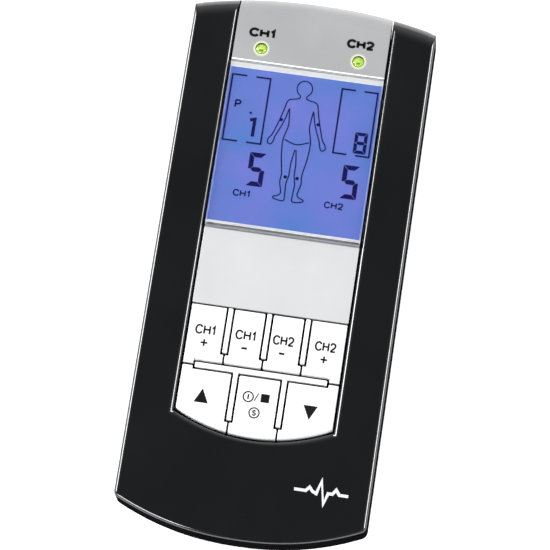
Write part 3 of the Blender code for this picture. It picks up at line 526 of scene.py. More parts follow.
def add_piece(name, bm, material, *nodes, body="case", edge=None):
    """A finished piece from a bmesh. Its edges are rounded by (width, segments) if given."""
    piece = to_object(name, bm)
    if edge:
        soften(piece, *edge)
    return finish_piece(piece, material, *nodes, body=body)


# ---- outline of the case ----

RIM_GROWS_FROM = 0.1             # how far an edge must face the socket end before its rounding grows
RIM_GROWS_OVER = 0.85
CAVITY_END_WALL = 0.65 * WALL    # what the case is thicker at its socket end


def end_edge(x, sag):
    """How far an end's arch has fallen at x."""
    return sag * (abs(x) / HALF_WIDTH) ** END_POWER


def quarter(half, apex, sag, corner, edge_steps=18, corner_steps=10):
    """From the middle of an end to the straight side, for an end that points along +Y."""
    slope = math.atan(END_POWER * sag / HALF_WIDTH * ((half - corner) / HALF_WIDTH) ** (END_POWER - 1))
    edge_x = half - corner + corner * math.sin(slope)
    centre = (half - corner, apex - end_edge(edge_x, sag) - corner * math.cos(slope))
    points = []
    for i in range(edge_steps):
        x = edge_x * i / edge_steps
        points.append((x, apex - end_edge(x, sag)))
    for i in range(corner_steps + 1):
        turn = (math.pi / 2 - slope) * (1 - i / corner_steps)
        points.append((centre[0] + corner * math.cos(turn), centre[1] + corner * math.sin(turn)))
    return points


def case_outline(side=0.0, top=0.0, bottom=0.0):
    """Points round the case, counter-clockwise from the middle of the bottom end, moved in by some depths."""
    half = HALF_WIDTH - side
    top_corner = max(TOP_CORNER_RADIUS - side, MIN_CORNER_RADIUS)
    bottom_corner = max(BOTTOM_CORNER_RADIUS - side, MIN_CORNER_RADIUS)
    upper = quarter(half, HALF_LENGTH - top, TOP_SAG, top_corner)
    lower = [(x, -y) for x, y in quarter(half, HALF_LENGTH - bottom, BOTTOM_SAG, bottom_corner)]
    right = lower + list(reversed(upper))
    left = [(-x, y) for x, y in reversed(right[1:-1])]
    return right + left


def facing_end(points):
    """How far the outline faces the socket end at each point, from -1 to 1."""
    result = []
    for i in range(len(points)):
        along = Vector(points[(i + 1) % len(points)]) - Vector(points[i - 1])
        result.append(-along.normalized().x)
    return result


def rim_radius(ny):
    """The face's rounding grows over the corners towards the socket end."""
    share = min(max((ny - RIM_GROWS_FROM) / RIM_GROWS_OVER, 0.0), 1.0)
    return RIM_RADIUS + (TOP_RIM_RADIUS - RIM_RADIUS) * share * share * (3 - 2 * share)


def case_body(steps=10):
    """The outside of the whole closed case: back rounding, widest section, drafted side, face rounding."""
    facing = facing_end(case_outline())
    rings = []
    for i in range(steps + 1):
        turn = math.pi / 2 * (1 - i / steps)
        reach = REAR_DRAFT + BACK_RIM_RADIUS * (1 - math.cos(turn))
        level = BACK_Z + BACK_RIM_RADIUS * (1 - math.sin(turn))
        rings.append([(x, y, level) for x, y in case_outline(reach, reach, reach)])
    rings.append([(x, y, PARTING_Z) for x, y in case_outline()])
    for inward, below in rounding(steps):
        reach = FRONT_DRAFT + RIM_RADIUS * inward
        top_reach = FRONT_DRAFT + TOP_RIM_RADIUS * inward
        rings.append([
            (x, y, FACE_Z - rim_radius(ny) * below)
            for (x, y), ny in zip(case_outline(reach, top_reach, reach), facing)
        ])
    return loft(rings)


def cavity(low, high):
    """The hollow of the case between two levels."""
    depth = WALL + FRONT_DRAFT
    return prism(case_outline(depth, depth + CAVITY_END_WALL, depth), low, high)


def strip_outline(grow, top_y, end_grow=None, steps=32):
    """The strip's outline, grown at its sides and at its arched lower end."""
    half = STRIP_HALF + grow
    end_y = STRIP_END_Y - (grow if end_grow is None else end_grow)
    arc = []
    for i in range(steps + 1):
        share = 2 * i / steps - 1
        arc.append((half * share, end_y + STRIP_SAG * share ** 2))
    return arc + [(half, top_y), (-half, top_y)]


def window_cutter(steps=8):
    """Cuts the strip's opening, flaring at the face so that the case's edge there is rounded."""
    snug = GAP / 2
    rings = [(snug, PARTING_Z - WALL)]
    for inward, below in list(rounding(steps))[:-1]:
        rings.append((snug + WINDOW_RADIUS * inward, FACE_Z - WINDOW_RADIUS * below))
    rings += [(snug + WINDOW_RADIUS, FACE_Z + 0.002 * MM), (snug + WINDOW_RADIUS, FACE_Z + WALL)]
    return loft([[(x, y, level) for x, y in strip_outline(grow, BAR)] for grow, level in rings])


# ---- case pieces ----

def dull_sides(piece, material="black_side", steepness=0.3):
    """Give a piece's upright faces a duller finish than its face has."""
    piece.data.materials.append(MATERIALS[material])
    for polygon in piece.data.polygons:
        if abs(polygon.normal.z) < steepness:
            polygon.material_index = 1


def make_front_case():
    case = to_object("front_shell", case_body())
    carve(
        case,
        ("DIFFERENCE", box((-BAR, -BAR, -BAR), (BAR, BAR, PARTING_Z + GAP / 2))),
        ("DIFFERENCE", cavity(PARTING_Z - WALL, FACE_Z - WALL)),
        ("DIFFERENCE", window_cutter()),
    )
    soften(case, 0.4 * MM, 4)
    finish_piece(case, "black_gloss", "front_case")
    dull_sides(case)


def make_end_cap():
    cap = to_object("end_cap", case_body(14))
    half = STRIP_HALF - GAP / 2
    leds = [cylinder((x, LED_Y, PARTING_Z), FACE_Z, LED_RADIUS + GAP) for x in (-LED_X, LED_X)]
    sockets = [cylinder((x, 0, SOCKET_Z), BAR, SOCKET_RADIUS + GAP, "Y") for x in (-SOCKET_X, SOCKET_X)]
    carve(
        cap,
        ("INTERSECT", box((-half, CAP_SEAM_Y + GAP / 2, CAP_LOW_Z), (half, BAR, BAR))),
        ("DIFFERENCE", box((-BAR, -BAR, -BAR), (BAR, HALF_LENGTH - CAP_END_WALL, FACE_Z - CAP_WALL))),
        ("DIFFERENCE", join(*leds, *sockets)),
    )
    soften(cap, 0.25 * MM, 3)
    finish_piece(cap, "silver_plastic", "jack_end_cap")


def make_fascia():
    plate = box(*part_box("silver_fascia"))
    add_piece("blank_fascia", plate, "fascia_plastic", "silver_fascia", edge=(0.15 * MM, 3))


# ---- keypad ----

def upright_ribs(grow, low, high):
    """The ribs between the keys of a row. Grown, they are the cutter that makes room for them."""
    half = RIB_HALF + grow
    spans = [(x, UPPER_RIB_END_Y, KEYPAD_SEAM_Y - GAP / 2) for x in (-UPPER_RIB_X, 0, UPPER_RIB_X)]
    spans += [(x, LOWER_RIB_END_Y, ROW_RIB_Y - grow) for x in (-LOWER_RIB_X, LOWER_RIB_X)]
    return join(*[box((x - half, y0 - grow, low), (x + half, y1 + grow, high)) for x, y0, y1 in spans])


def row_rib(grow, low, high):
    half = ROW_RIB_HALF + grow
    reach = ROW_RIB_REACH + grow
    return box((-half, ROW_RIB_Y - reach, low), (half, ROW_RIB_Y + reach, high))


def key_table():
    """Each key's name, and its cell between the seams as (x0, x1, y0, y1)."""
    edge = STRIP_HALF + GAP
    upper = ("ch1_plus", "ch1_minus", "ch2_minus", "ch2_plus")
    lower = ("up", "power_select", "down")
    rows = (
        (upper, (-UPPER_RIB_X, 0.0, UPPER_RIB_X), ROW_RIB_Y, KEYPAD_SEAM_Y),
        (lower, (-LOWER_RIB_X, LOWER_RIB_X), STRIP_END_Y - GAP, ROW_RIB_Y),
    )
    for names, seams, y0, y1 in rows:
        columns = (-edge, *seams, edge)
        for name, x0, x1 in zip(names, columns, columns[1:]):
            yield name, (x0, x1, y0, y1)


def key_pad(steps=6):
    """The outside of all the keys together, whose arched lower edge slopes away softly."""
    seam = GAP / 2
    top_y = KEYPAD_SEAM_Y - seam
    rings = [strip_outline(-seam, top_y)]
    levels = [KEY_LOW_Z]
    for inward, below in rounding(steps):
        rings.append(strip_outline(-seam - KEY_EDGE * inward, top_y, -seam - KEY_END_SLOPE * inward))
        levels.append(STRIP_TOP_Z - KEY_SLOPE_DROP * below)
    return loft([[(x, y, level) for x, y in ring] for ring, level in zip(rings, levels)])


def row_slope(steps=6):
    """Cuts the upper row's lower edge down to the rib below it in a soft slope."""
    edge = ROW_RIB_Y + ROW_RIB_REACH + SEAM
    profile = [(edge - SEAM / 2, STRIP_TOP_Z - KEY_SLOPE_DROP)]
    for inward, below in rounding(steps):
        profile.append((edge + KEY_ROW_SLOPE * inward, STRIP_TOP_Z - KEY_SLOPE_DROP * below))
    profile += [(edge + KEY_ROW_SLOPE, STRIP_TOP_Z + WALL), (edge - SEAM / 2, STRIP_TOP_Z + WALL)]
    return prism(profile, -ROW_RIB_HALF - SEAM, ROW_RIB_HALF + SEAM, "X")


def make_keypad():
    frame_low, frame_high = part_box("key_frame")
    plate_top = frame_low.z + PLATE_THICKNESS
    # A near-black plate under the keys and ribs: painted shade, so that the seams read dark down to their
    # bottom.
    plate = prism(strip_outline(PLATE_MARGIN, KEYPAD_SEAM_Y + PLATE_MARGIN), frame_low.z, plate_top)
    add_piece("key_seam_shade_plate", plate, "black_backing", "key_frame", edge=(0.2 * MM,))
    ribs = to_object("key_ribs", row_rib(0, plate_top, frame_high.z))
    carve(ribs, ("UNION", upright_ribs(0, plate_top, frame_high.z)))
    soften(ribs, 0.2 * MM, 3)
    finish_piece(ribs, "key_white", "key_frame")
    seam = KEY_SEAM / 2
    for name, (x0, x1, y0, y1) in key_table():
        key = to_object("cap_" + name, key_pad())
        steps = [
            ("INTERSECT", box((x0 + seam, y0 + seam, 0), (x1 - seam, y1 - KEY_TOP_SEAM * seam, BAR))),
            ("DIFFERENCE", upright_ribs(SEAM, 0, BAR)),
            ("DIFFERENCE", row_rib(SEAM, 0, BAR)),
        ]
        if y1 > ROW_RIB_Y:
            steps.append(("DIFFERENCE", row_slope()))
        carve(key, *steps)
        soften(key, KEY_EDGE, 4)
        finish_piece(key, "key_white", "key_" + name, body="key_" + name)


# ---- marks printed on the surfaces ----

INK = 0.02 * MM                  # how far print stands proud

# Plain stroke letters in a cell one wide and one high. A stroke of more than three points is a curve
LETTERS = {
    "C": (
        ((0.97, 0.76), (0.82, 0.94), (0.52, 1.0), (0.18, 0.88), (0.02, 0.5), (0.18, 0.12), (0.52, 0.0),
         (0.82, 0.06), (0.97, 0.24)),
    ),
    "H": (((0.02, 0.0), (0.02, 1.0)), ((0.98, 0.0), (0.98, 1.0)), ((0.02, 0.52), (0.98, 0.52))),
    "P": (
        ((0.05, 0.0), (0.05, 1.0)),
        ((0.05, 0.97), (0.6, 0.97), (0.93, 0.85), (0.93, 0.6), (0.6, 0.47), (0.05, 0.47)),
    ),
    "S": (
        ((0.92, 0.8), (0.72, 0.96), (0.4, 1.0), (0.08, 0.84), (0.14, 0.62), (0.5, 0.52), (0.88, 0.4),
         (0.94, 0.18), (0.62, 0.0), (0.28, 0.03), (0.06, 0.22)),
    ),
    "1": (((0.1, 0.72), (0.62, 1.0), (0.62, 0.0)),),
    "2": (
        ((0.06, 0.74), (0.2, 0.95), (0.5, 1.0), (0.84, 0.9), (0.92, 0.68), (0.72, 0.44), (0.34, 0.2),
         (0.05, 0.0)),
        ((0.02, 0.0), (0.98, 0.0)),
    ),
}
LETTER_WIDTHS = {"C": 1.0, "H": 0.92, "P": 0.85, "S": 0.85, "1": 0.6, "2": 0.9}
LETTER_SPACE = 0.34


def word_shapes(word, centre, width, height, thick, level):
    """Stroke lettering centred on a point, with its outer size given."""
    total = sum(LETTER_WIDTHS[letter] for letter in word) + LETTER_SPACE * (len(word) - 1)
    unit = (width - thick) / total
    tall = height - thick
    x = centre[0] - width / 2 + thick / 2
    y = centre[1] - tall / 2
    shapes = []
    for letter in word:
        wide = LETTER_WIDTHS[letter] * unit
        for points in LETTERS[letter]:
            path = [Vector((x + wide * a, y + tall * b)) for a, b in points]
            shapes.append(line_shape(smooth_path(path) if len(path) > 3 else path, thick, level))
        x += wide + LETTER_SPACE * unit
    return shapes


def flat_shape(outline, level):
    """A printed patch."""
    return prism(outline, level, level + INK)


def tube(centre, radius, width, low, high, segments=40):
    """A ring or sleeve of square section, upright on a point."""
    bm = bmesh.new()
    loops = []
    for r, z in ((radius, low), (radius, high), (radius - width, high), (radius - width, low)):
        loops.append([
            bm.verts.new((centre[0] + r * math.cos(turn), centre[1] + r * math.sin(turn), z))
            for turn in (2 * math.pi * i / segments for i in range(segments))
        ])
    for loop, after in zip(loops, loops[1:] + loops[:1]):
        for i in range(segments):
            j = (i + 1) % segments
            bm.faces.new((loop[i], loop[j], after[j], after[i]))
    return bm


def ring_shape(centre, radius, width, level):
    """A flat printed ring."""
    return tube(centre, radius, width, level, level + INK)


def bar_shape(start, end, width, level):
    """A flat printed line between two points."""
    start = Vector(start)
    end = Vector(end)
    side = (end - start).normalized().orthogonal() * width / 2
    return flat_shape([start - side, end - side, end + side, start + side], level)


def plus_shape(centre, size, width, level):
    x, y = centre
    a = size / 2
    b = width / 2
    return flat_shape([
        (x - a, y - b), (x - b, y - b), (x - b, y - a), (x + b, y - a), (x + b, y - b), (x + a, y - b),
        (x + a, y + b), (x + b, y + b), (x + b, y + a), (x - b, y + a), (x - b, y + b), (x - a, y + b),
    ], level)


NAME_Y = -18.4 * MM              # the channel names on the upper keys
SIGN_Y = -21.5 * MM              # the plus and minus signs under them
SIGN_HALF = 0.65 * MM
KEY_NAMES = (
    # key, word, middle in millimetres
    ("ch1_plus", "CH1", -14.3),
    ("ch1_minus", "CH1", -4.75),
    ("ch2_minus", "CH2", 4.15),
    ("ch2_plus", "CH2", 14.1),
)
ARROW_HALF = 1.68 * MM
KEY_ARROWS = (
    # key, middle, the way it points along Y
    ("up", -12.85 * MM, -33.95 * MM, 1),
    ("down", 12.65 * MM, -34.35 * MM, -1),
)
POWER_PLACE = (-2.07 * MM, -32.65 * MM)
POWER_BAR_HALF = 0.6 * MM
STOP_PLACE = (1.9 * MM, -32.54 * MM)
STOP_HALF = 1.0 * MM
SLASH = ((-0.6 * MM, -33.5 * MM), (0.25 * MM, -31.6 * MM))
SELECT_PLACE = (-0.16 * MM, -36.24 * MM)
SIGN_RING = (1.32 * MM, 0.3 * MM)  # outer radius and line width


def print_on_key(key, *shapes):
    add_piece("print_" + key, join(*shapes), "print_dark", body="key_" + key)


def make_key_print():
    level = STRIP_TOP_Z
    for key, word, x in KEY_NAMES:
        x *= MM
        shapes = word_shapes(word, (x, NAME_Y), 5.15 * MM, 2.35 * MM, 0.42 * MM, level)
        if key.endswith("plus"):
            shapes.append(plus_shape((x, SIGN_Y), 1.6 * MM, 0.42 * MM, level))
        else:
            shapes.append(bar_shape((x - SIGN_HALF, SIGN_Y), (x + SIGN_HALF, SIGN_Y), 0.5 * MM, level))
        print_on_key(key, *shapes)
    for key, x, y, way in KEY_ARROWS:
        foot = y - way * ARROW_HALF
        tip = y + way * ARROW_HALF
        print_on_key(key, flat_shape([(x - ARROW_HALF, foot), (x + ARROW_HALF, foot), (x, tip)], level))
    x, y = POWER_PLACE
    power_bar = ((x, y - POWER_BAR_HALF), (x, y + POWER_BAR_HALF))
    x, y = STOP_PLACE
    stop = ((x - STOP_HALF, y - STOP_HALF), (x + STOP_HALF, y - STOP_HALF),
            (x + STOP_HALF, y + STOP_HALF), (x - STOP_HALF, y + STOP_HALF))
    print_on_key(
        "power_select",
        ring_shape(POWER_PLACE, *SIGN_RING, level),
        bar_shape(*power_bar, 0.34 * MM, level),
        bar_shape(*SLASH, 0.24 * MM, level),
        flat_shape(stop, level),
        ring_shape(SELECT_PLACE, *SIGN_RING, level),
        *word_shapes("S", SELECT_PLACE, 1.0 * MM, 1.4 * MM, 0.3 * MM, level),
    )


CAP_WORDS = (
    # word, middle
    ("CH1", (-12.0 * MM, 55.6 * MM)),
    ("CH2", (11.8 * MM, 56.0 * MM)),
)


def make_cap_print():
    shapes = []
    for word, middle in CAP_WORDS:
        shapes += word_shapes(word, middle, 6.8 * MM, 2.35 * MM, 0.66 * MM, FACE_Z)
    add_piece("print_channels", join(*shapes), "print_dark")


# A plain pulse, as (x, y) in millimetres from the middle of its place on the case
PULSE = (
    (-6.3, 0.0), (-3.6, 0.0), (-2.8, 0.9), (-2.0, 0.0), (-1.1, -0.4), (-0.2, 2.7), (0.8, -2.6), (1.6, 0.0),
    (2.6, 0.0), (3.4, 1.1), (4.2, 0.0), (6.3, 0.0),
)
PULSE_PLACE = (18.0 * MM, -52.4 * MM)


def make_pulse_print():
    path = [Vector((PULSE_PLACE[0] + x * MM, PULSE_PLACE[1] + y * MM)) for x, y in PULSE]
    pulse = line_shape(path, 0.7 * MM, FACE_Z)
    add_piece("print_pulse", pulse, "print_pale")


# ---- display ----

BAR_GAP = 0.07 * MM              # between the bars of a digit
SEGMENTS = {
    # which of the seven bars are lit: top, upper right, lower right, bottom, lower left, upper left, middle
    "5": (0, 5, 6, 2, 3),
    "8": (0, 1, 2, 3, 4, 5, 6),
}


def digit_shapes(digit, centre, width, height, thick, level):
    """A seven-bar figure of that outer size, its bars mitred where they meet, with thin gaps."""
    a = width / 2
    b = height / 2
    h = thick / 2
    g = BAR_GAP
    level_bar = ((-a + g, b), (a - g, b), (a - thick - g, b - thick), (thick + g - a, b - thick))
    upright_bar = ((a, b - g), (a - thick, b - thick - g), (a - thick, h + g), (a - h, g), (a, g))
    middle_bar = (
        (thick + g - a, h), (a - thick - g, h), (a - h - g, 0.0),
        (a - thick - g, -h), (thick + g - a, -h), (h + g - a, 0.0),
    )
    bars = (
        (level_bar, 1, 1), (upright_bar, 1, 1), (upright_bar, 1, -1), (level_bar, 1, -1),
        (upright_bar, -1, -1), (upright_bar, -1, 1), (middle_bar, 1, 1),
    )
    shapes = []
    for number in SEGMENTS[digit]:
        outline, x_way, y_way = bars[number]
        shapes.append(flat_shape([(centre[0] + x_way * x, centre[1] + y_way * y) for x, y in outline], level))
    return shapes


def smooth_path(points, steps=6):
    """A Catmull-Rom curve through given points."""
    points = [Vector(point) for point in points]
    padded = [2 * points[0] - points[1], *points, 2 * points[-1] - points[-2]]
    path = []
    for p0, p1, p2, p3 in zip(padded, padded[1:], padded[2:], padded[3:]):
        for i in range(steps):
            t = i / steps
            path.append(0.5 * (
                2 * p1 + (p2 - p0) * t + (2 * p0 - 5 * p1 + 4 * p2 - p3) * t ** 2
                + (3 * p1 - p0 - 3 * p2 + p3) * t ** 3
            ))
    path.append(points[-1])
    return path


def line_shape(path, width, level):
    """A flat line of even width along a path, with mitred corners."""
    left = []
    right = []
    for i, point in enumerate(path):
        before = (point - path[i - 1]).normalized() if i else (path[1] - point).normalized()
        after = (path[i + 1] - point).normalized() if i + 1 < len(path) else before
        along = (before + after).normalized()
        reach = width / 2 / max(along.dot(after), 0.4)
        side = Vector((-along.y, along.x)) * reach
        left.append(point + side)
        right.append(point - side)
    bm = bmesh.new()
    rails = [
        [bm.verts.new((p.x, p.y, z)) for p in rail]
        for rail, z in ((left, level), (right, level), (right, level + INK), (left, level + INK))
    ]
    for rail, after in zip(rails, rails[1:] + rails[:1]):
        for i in range(len(path) - 1):
            bm.faces.new((rail[i], rail[i + 1], after[i + 1], after[i]))
    bm.faces.new([rail[0] for rail in rails])
    bm.faces.new([rail[-1] for rail in reversed(rails)])
    return bm


LENS_SHADOW_Y = 7.6 * MM                # below this the lens has a grey band behind it: painted shadow under the lens's lower edge
SIGHT_Y = (8.25 * MM, 46.7 * MM)  # the part of the glass that its pale border leaves open
FRAME_DEPTH = 0.25 * MM          # from the lens down to the border
SHEET = 0.12 * MM                # the border's thickness

# What the display shows, in millimetres
DIGITS = (
    # digit, middle, width, height, width of its bars
    ("8", (15.15, 31.9), 3.1, 5.3, 0.82),
    ("5", (-8.6, 21.95), 4.0, 8.3, 1.15),
    ("5", (14.0, 22.0), 4.0, 8.3, 1.15),
)
ONE = ((-11.9, 33.95), (-10.75, 34.25), (-10.75, 29.9))
DISPLAY_WORDS = (
    # word, middle, width, height, width of its strokes
    ("P", (-15.4, 37.6), 1.7, 2.2, 0.42),
    ("CH1", (-11.1, 15.7), 4.4, 1.7, 0.34),
    ("CH2", (11.0, 15.75), 4.7, 1.7, 0.34),
)
BRACKETS = ((-17.75, -8.5, 28.1, 45.0), (8.95, 17.6, 28.5, 45.0))
POINT = (-12.0, 35.7)

# Right half of a plain standing figure, in millimetres from the display's middle line
FIGURE_ARM = (
    (0.8, 41.7), (0.85, 41.0), (1.7, 40.65), (3.0, 40.4), (3.7, 39.7), (4.15, 37.8), (4.75, 35.4),
    (5.5, 32.9), (6.15, 31.1), (6.85, 30.1), (6.95, 29.1), (6.2, 28.7), (5.65, 29.5), (5.35, 30.8),
    (4.4, 33.1), (3.6, 35.3), (3.0, 37.9),
)
FIGURE_LEG = (
    (2.9, 38.2), (2.65, 35.8), (2.55, 33.8), (3.1, 31.4), (3.35, 29.6), (3.1, 26.0), (2.45, 22.0),
    (2.55, 19.8), (2.0, 17.3), (2.5, 16.5), (3.6, 16.0), (3.3, 15.5), (1.1, 15.3), (0.95, 17.0),
    (1.05, 19.5), (0.65, 21.7), (0.6, 24.6), (0.15, 28.1),
)
FIGURE_DOTS = ((4.45, 35.05), (1.42, 21.13))
FIGURE_HEAD = (43.45, 1.85, 1.95)  # middle height, half width and half height
HEAD_ARC = (-62, 304, 40)          # where its line starts and how far it runs, in degrees, and its steps
FIGURE_WAIST = ((-3.0 * MM, 30.3 * MM), (0, 29.4 * MM), (3.0 * MM, 30.3 * MM))
FIGURE_LINE = 0.3 * MM


def figure_shapes(level):
    shapes = []
    for side in (-1, 1):
        for outline in (FIGURE_ARM, FIGURE_LEG):
            path = smooth_path([(side * x * MM, y * MM) for x, y in outline])
            shapes.append(line_shape(path, FIGURE_LINE, level))
        for x, y in FIGURE_DOTS:
            shapes.append(cylinder((side * x * MM, y * MM, level), 1.4 * INK, 0.42 * MM, segments=20))
    y, a, b = FIGURE_HEAD
    start, sweep, steps = HEAD_ARC
    head = []
    for i in range(steps + 1):
        turn = math.radians(start + sweep * i / steps)
        head.append(Vector((a * MM * math.cos(turn), (y + b * math.sin(turn)) * MM)))
    shapes.append(line_shape(head, FIGURE_LINE, level))
    shapes.append(line_shape(smooth_path(FIGURE_WAIST), FIGURE_LINE, level))
    return shapes


def bracket_shapes(x0, x1, y0, y1, level):
    """A tall frame whose top and bottom lines have a gap in the middle."""
    width = 0.42 * MM
    reach = (x1 - x0) * 0.38
    shapes = []
    for x, way in ((x0, 1), (x1, -1)):
        shapes.append(bar_shape((x, y0), (x, y1), width, level))
        for y in (y0 + width / 2, y1 - width / 2):
            shapes.append(bar_shape((x + way * width / 2, y), (x + way * reach, y), width, level))
    return shapes


def make_display_figures():
    level = GLASS_TOP_Z + 0.01 * MM
    shapes = figure_shapes(level)
    for edges in BRACKETS:
        shapes += bracket_shapes(*[edge * MM for edge in edges], level)
    shapes.append(line_shape([Vector(point) * MM for point in ONE], 0.8 * MM, level))
    for maker, table in ((digit_shapes, DIGITS), (word_shapes, DISPLAY_WORDS)):
        for content, (x, y), *sizes in table:
            shapes += maker(content, (x * MM, y * MM), *[size * MM for size in sizes], level)
    shapes.append(cylinder((POINT[0] * MM, POINT[1] * MM, level), INK, 0.32 * MM, segments=16))
    add_piece("display_figures", join(*shapes), "display_ink")


def make_display():
    """The lens, and what frames the glass behind it: a pale border that glows as painted highlight on the
    lens's edges, a grey foot that is painted shadow under the lens's lower edge, a seal and a gasket. A
    glowing strip on the cap's lower edge is a painted highlight.
    """
    low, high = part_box("display_lens")
    lens = box(low, high)
    lens = add_piece("display_window", lens, "clear_lens", "display_lens", edge=(0.35 * MM, 5))
    dull_sides(lens, "lens_edge", 0.99)

    back = low.z - FRAME_DEPTH
    # The pale border glows: a painted highlight where the lens's edges show bright.
    border = to_object("display_border", box((low.x, LENS_SHADOW_Y, back), (high.x, high.y, back + SHEET)))
    carve(border, ("DIFFERENCE", box((-BAR, SIGHT_Y[0], 0), (BAR, SIGHT_Y[1], BAR))))
    finish_piece(border, "display_border")
    # A grey sheet behind the lens's lowest band: painted shadow under the lens's lower edge.
    foot = box((low.x, low.y, back), (high.x, LENS_SHADOW_Y, back + SHEET))
    add_piece("display_lens_shadow", foot, "silver_plastic", edge=(0.04 * MM, 1))
    half = 0.14 * MM
    seal = box((low.x, LENS_SEAM_Y - half, back), (high.x, LENS_SEAM_Y + half, STRIP_TOP_Z - 0.15 * MM))
    add_piece("display_seal", seal, "silver_plastic", edge=(0.05 * MM, 2))
    # A thin glowing pale strip along the cap's lower edge: a painted highlight of that edge.
    y = CAP_SEAM_Y + GAP / 2
    highlight_strip = box((low.x, y - 0.05 * MM, FACE_Z - 0.5 * MM), (high.x, y + 0.2 * MM, FACE_Z + 0.01 * MM))
    add_piece("cap_edge_painted_highlight", highlight_strip, "display_border", edge=(0.04 * MM, 2))

    edge = 0.25 * MM
    gasket = box((low.x - edge, low.y, back - 0.3 * MM), (high.x + edge, high.y + 0.45 * MM, back - 0.1 * MM))
    gasket = to_object("display_gasket", gasket)
    opening = box((low.x + edge, low.y - BAR, 0), (high.x - edge, SIGHT_Y[1] + edge, BAR))
    carve(gasket, ("DIFFERENCE", opening))
    finish_piece(gasket, "black_backing")


# Both rings are painted glow: the lamp's light spilling onto the cap.
LAMP_RINGS = (
    # part, outer radius, width, material
    ("spill_paint", LED_RADIUS + 0.3 * MM, 0.28 * MM, "led_halo"),
    ("halo", LED_RADIUS + 0.6 * MM, 0.3 * MM, "led_glow"),
)


def make_lamps():
    """Each lamp: a clear domed body round a lit core and a dark die, and two pale rings on the cap that glow
    faintly, painted glow of the lamp's light on the cap.
    """
    for name, x in (("ch1", -LED_X), ("ch2", LED_X)):
        low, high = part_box("led_" + name)
        dome = cylinder((x, LED_Y, low.z), high.z - low.z - 0.05 * MM, LED_RADIUS)
        add_piece("lamp_dome_" + name, dome, "led_clear", "led_" + name, edge=(0.9 * MM, 7))
        core = bmesh.new()
        bmesh.ops.create_uvsphere(core, u_segments=24, v_segments=14, radius=1.0 * MM)
        bmesh.ops.translate(core, vec=(x, LED_Y, high.z - 1.25 * MM), verts=core.verts)
        finish_piece(shade(to_object("lamp_core_" + name, core)), "led_green")
        place = Vector((x, LED_Y - 0.4 * MM, high.z - 0.4 * MM))
        reach = Vector((0.42, 0.3, 0.1)) * MM
        die = box(place - reach, place + reach)
        add_piece("lamp_die_" + name, die, "led_dark", edge=(0.09 * MM, 2))
        for part, radius, width, material in LAMP_RINGS:
            ring = ring_shape((x, LED_Y), radius, width, FACE_Z)
            add_piece(f"lamp_{part}_{name}", ring, material)


# ---- pieces refined from the CAD's own ----

def refine(node, name, material, width, *steps):
    """A finer piece made from a copy of a CAD node's mesh: extra cuts, rounded edges and smooth shading."""
    original = frame["nodes"][node]
    bm = bmesh.new()
    bm.from_mesh(original.data)
    bmesh.ops.remove_doubles(bm, verts=bm.verts, dist=0.0005 * MM)
    bmesh.ops.dissolve_limit(bm, angle_limit=math.radians(1), verts=bm.verts, edges=bm.edges)
    piece = to_object(name, bm)
    if steps:
        carve(piece, *steps)
    soften(piece, width)
    return finish_piece(piece, material, node, body=body_of(original)[0])


DOOR_ARROW = ((-2.2 * MM, -44.0 * MM), (2.2 * MM, -44.0 * MM), (0.0, -40.8 * MM))
GRIP_HALF = 8.0 * MM             # half the length of the clip's grip grooves
GRIP_Y = (26.6, 28.4, 30.2)      # where they start, in millimetres
SCREW_CROSS = ((1.3 * MM, 0.3 * MM), (0.3 * MM, 1.3 * MM))


def make_rear():
    dull_sides(refine("rear_case", "rear_shell", "black_matte", 0.35 * MM))
    arrow = prism(DOOR_ARROW, 0, BACK_Z + 0.3 * MM)
    refine("battery_door", "door_panel", "black_matte", 0.25 * MM, ("DIFFERENCE", arrow))
    grooves = [box((-GRIP_HALF, y * MM, -MM), (GRIP_HALF, (y + 0.9) * MM, 0.45 * MM)) for y in GRIP_Y]
    refine("belt_clip", "clip_lever", "black_matte", 0.4 * MM, ("DIFFERENCE", join(*grooves)))
    refine("clip_pin", "clip_axle", "screw_steel", 0.25 * MM)
    for node in frame["nodes"]:
        if node.startswith("board_screw_"):
            refine(node, node + "_detail", "screw_steel", 0.12 * MM)
        if node.startswith("case_screw_"):
            low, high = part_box(node)
            x = (low.x + high.x) / 2
            y = (low.y + high.y) / 2
            cuts = [
                ("DIFFERENCE", box((x - a, y - b, low.z - MM), (x + a, y + b, low.z + 0.9 * MM)))
                for a, b in SCREW_CROSS
            ]
            refine(node, node + "_detail", "screw_steel", 0.12 * MM, *cuts)


def make_sockets():
    """Each socket has a metal sleeve and a pin inside it."""
    for name, x in (("ch1", -SOCKET_X), ("ch2", SOCKET_X)):
        refine("output_jack_" + name, "socket_" + name, "black_socket", 0.2 * MM)
        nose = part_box("output_jack_" + name)[1].y
        upright = Matrix.Translation((x, nose, SOCKET_Z)) @ AXIS_TURN["Y"]
        sleeve = tube((0, 0), 2.28 * MM, 0.25 * MM, -3.4 * MM, -0.5 * MM)
        bmesh.ops.transform(sleeve, matrix=upright, verts=sleeve.verts)
        add_piece("socket_sleeve_" + name, sleeve, "screw_steel", edge=(0.08 * MM,))
        pin = cylinder((x, nose - 8.4 * MM, SOCKET_Z), 6.4 * MM, 0.96 * MM, "Y")
        add_piece("socket_pin_" + name, pin, "screw_steel", edge=(0.35 * MM,))


CELL_PLACES = ("left", "middle", "right")
CELL_BANDS = (
    # where each band starts, as a share of the cell from its spring, and its colour
    (0.0, (0.6, 0.6, 0.6)),
    (0.02, (0.035, 0.036, 0.042)),
    (0.7, (0.75, 0.75, 0.72)),
    (0.72, (0.62, 0.29, 0.12)),
    (0.95, (0.6, 0.6, 0.6)),
)


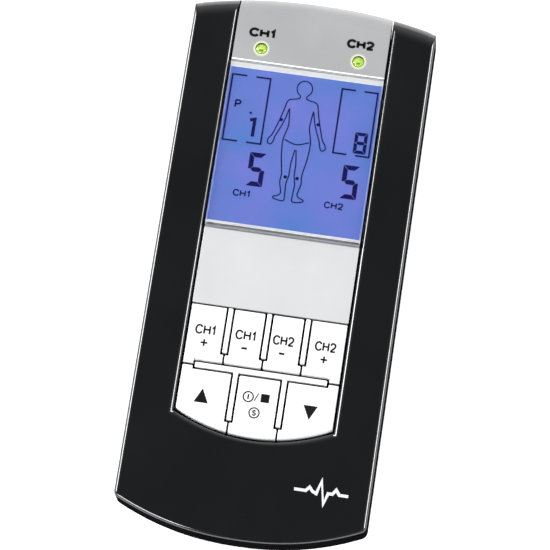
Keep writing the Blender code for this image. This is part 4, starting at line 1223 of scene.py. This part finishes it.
def cell_jacket(place):
    """A plain two-tone jacket. The copper band is at the end away from the spring."""
    low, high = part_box("cell_" + place)
    start, end = low.y, high.y
    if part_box("battery_spring_" + place)[0].y > low.y:
        start, end = end, start
    surface = Surface("cell_jacket_" + place, (0.05, 0.05, 0.06), 0.25, 0.6)
    split = surface.nodes.new("ShaderNodeSeparateXYZ")
    surface.links.new(surface.coordinates.outputs["Object"], split.inputs["Vector"])
    span = surface.nodes.new("ShaderNodeMapRange")
    surface.links.new(split.outputs["Y"], span.inputs["Value"])
    span.inputs["From Min"].default_value = start
    span.inputs["From Max"].default_value = end
    first, *between, last = CELL_BANDS
    ramp = surface.tint(span.outputs["Result"], first[1], last[1], first[0], last[0])
    for position, colour in between:
        ramp.color_ramp.elements.new(position).color = (*colour, 1.0)
    ramp.color_ramp.interpolation = "CONSTANT"
    surface.gloss(surface.noise(4 * MM, 4), 0.18, 0.3)
    surface.bump(surface.noise(0.5 * MM, 2), 0.004 * MM)


def make_cells():
    for place in CELL_PLACES:
        cell_jacket(place)
        body = refine("cell_" + place, "cell_body_" + place, "cell_jacket_" + place, 0.3 * MM)


CAD_MATERIALS = (
    ("black_matte", "microcontroller_chip", "buzzer"),
    ("display_blue", "lcd_glass"),
    ("white_plastic", "backlight_panel", "lcd_holder"),
    ("board_green", "main_pcb"),
    ("conductive_rubber", "zebra_strip_lower", "zebra_strip_upper"),
    ("ferrite", "output_transformer_ch1", "output_transformer_ch2"),
    ("spring_steel", "clip_spring", *["battery_spring_" + place for place in CELL_PLACES]),
    ("spring_steel", *["contact_" + place for place in CELL_PLACES]),
    ("black_socket", *[node for node in frame["nodes"] if node.startswith(("plunger_", "switch_"))]),
)


def paint_cad_nodes():
    """Materials for the CAD nodes that stay as they are."""
    for material, *nodes in CAD_MATERIALS:
        for node in nodes:
            coat(frame["nodes"][node], material)


add_camera()
add_studio()
make_materials()
paint_cad_nodes()
make_front_case()
make_end_cap()
make_fascia()
make_keypad()
make_key_print()
make_cap_print()
make_pulse_print()
make_display_figures()
make_display()
make_lamps()
make_rear()
make_sockets()
make_cells()
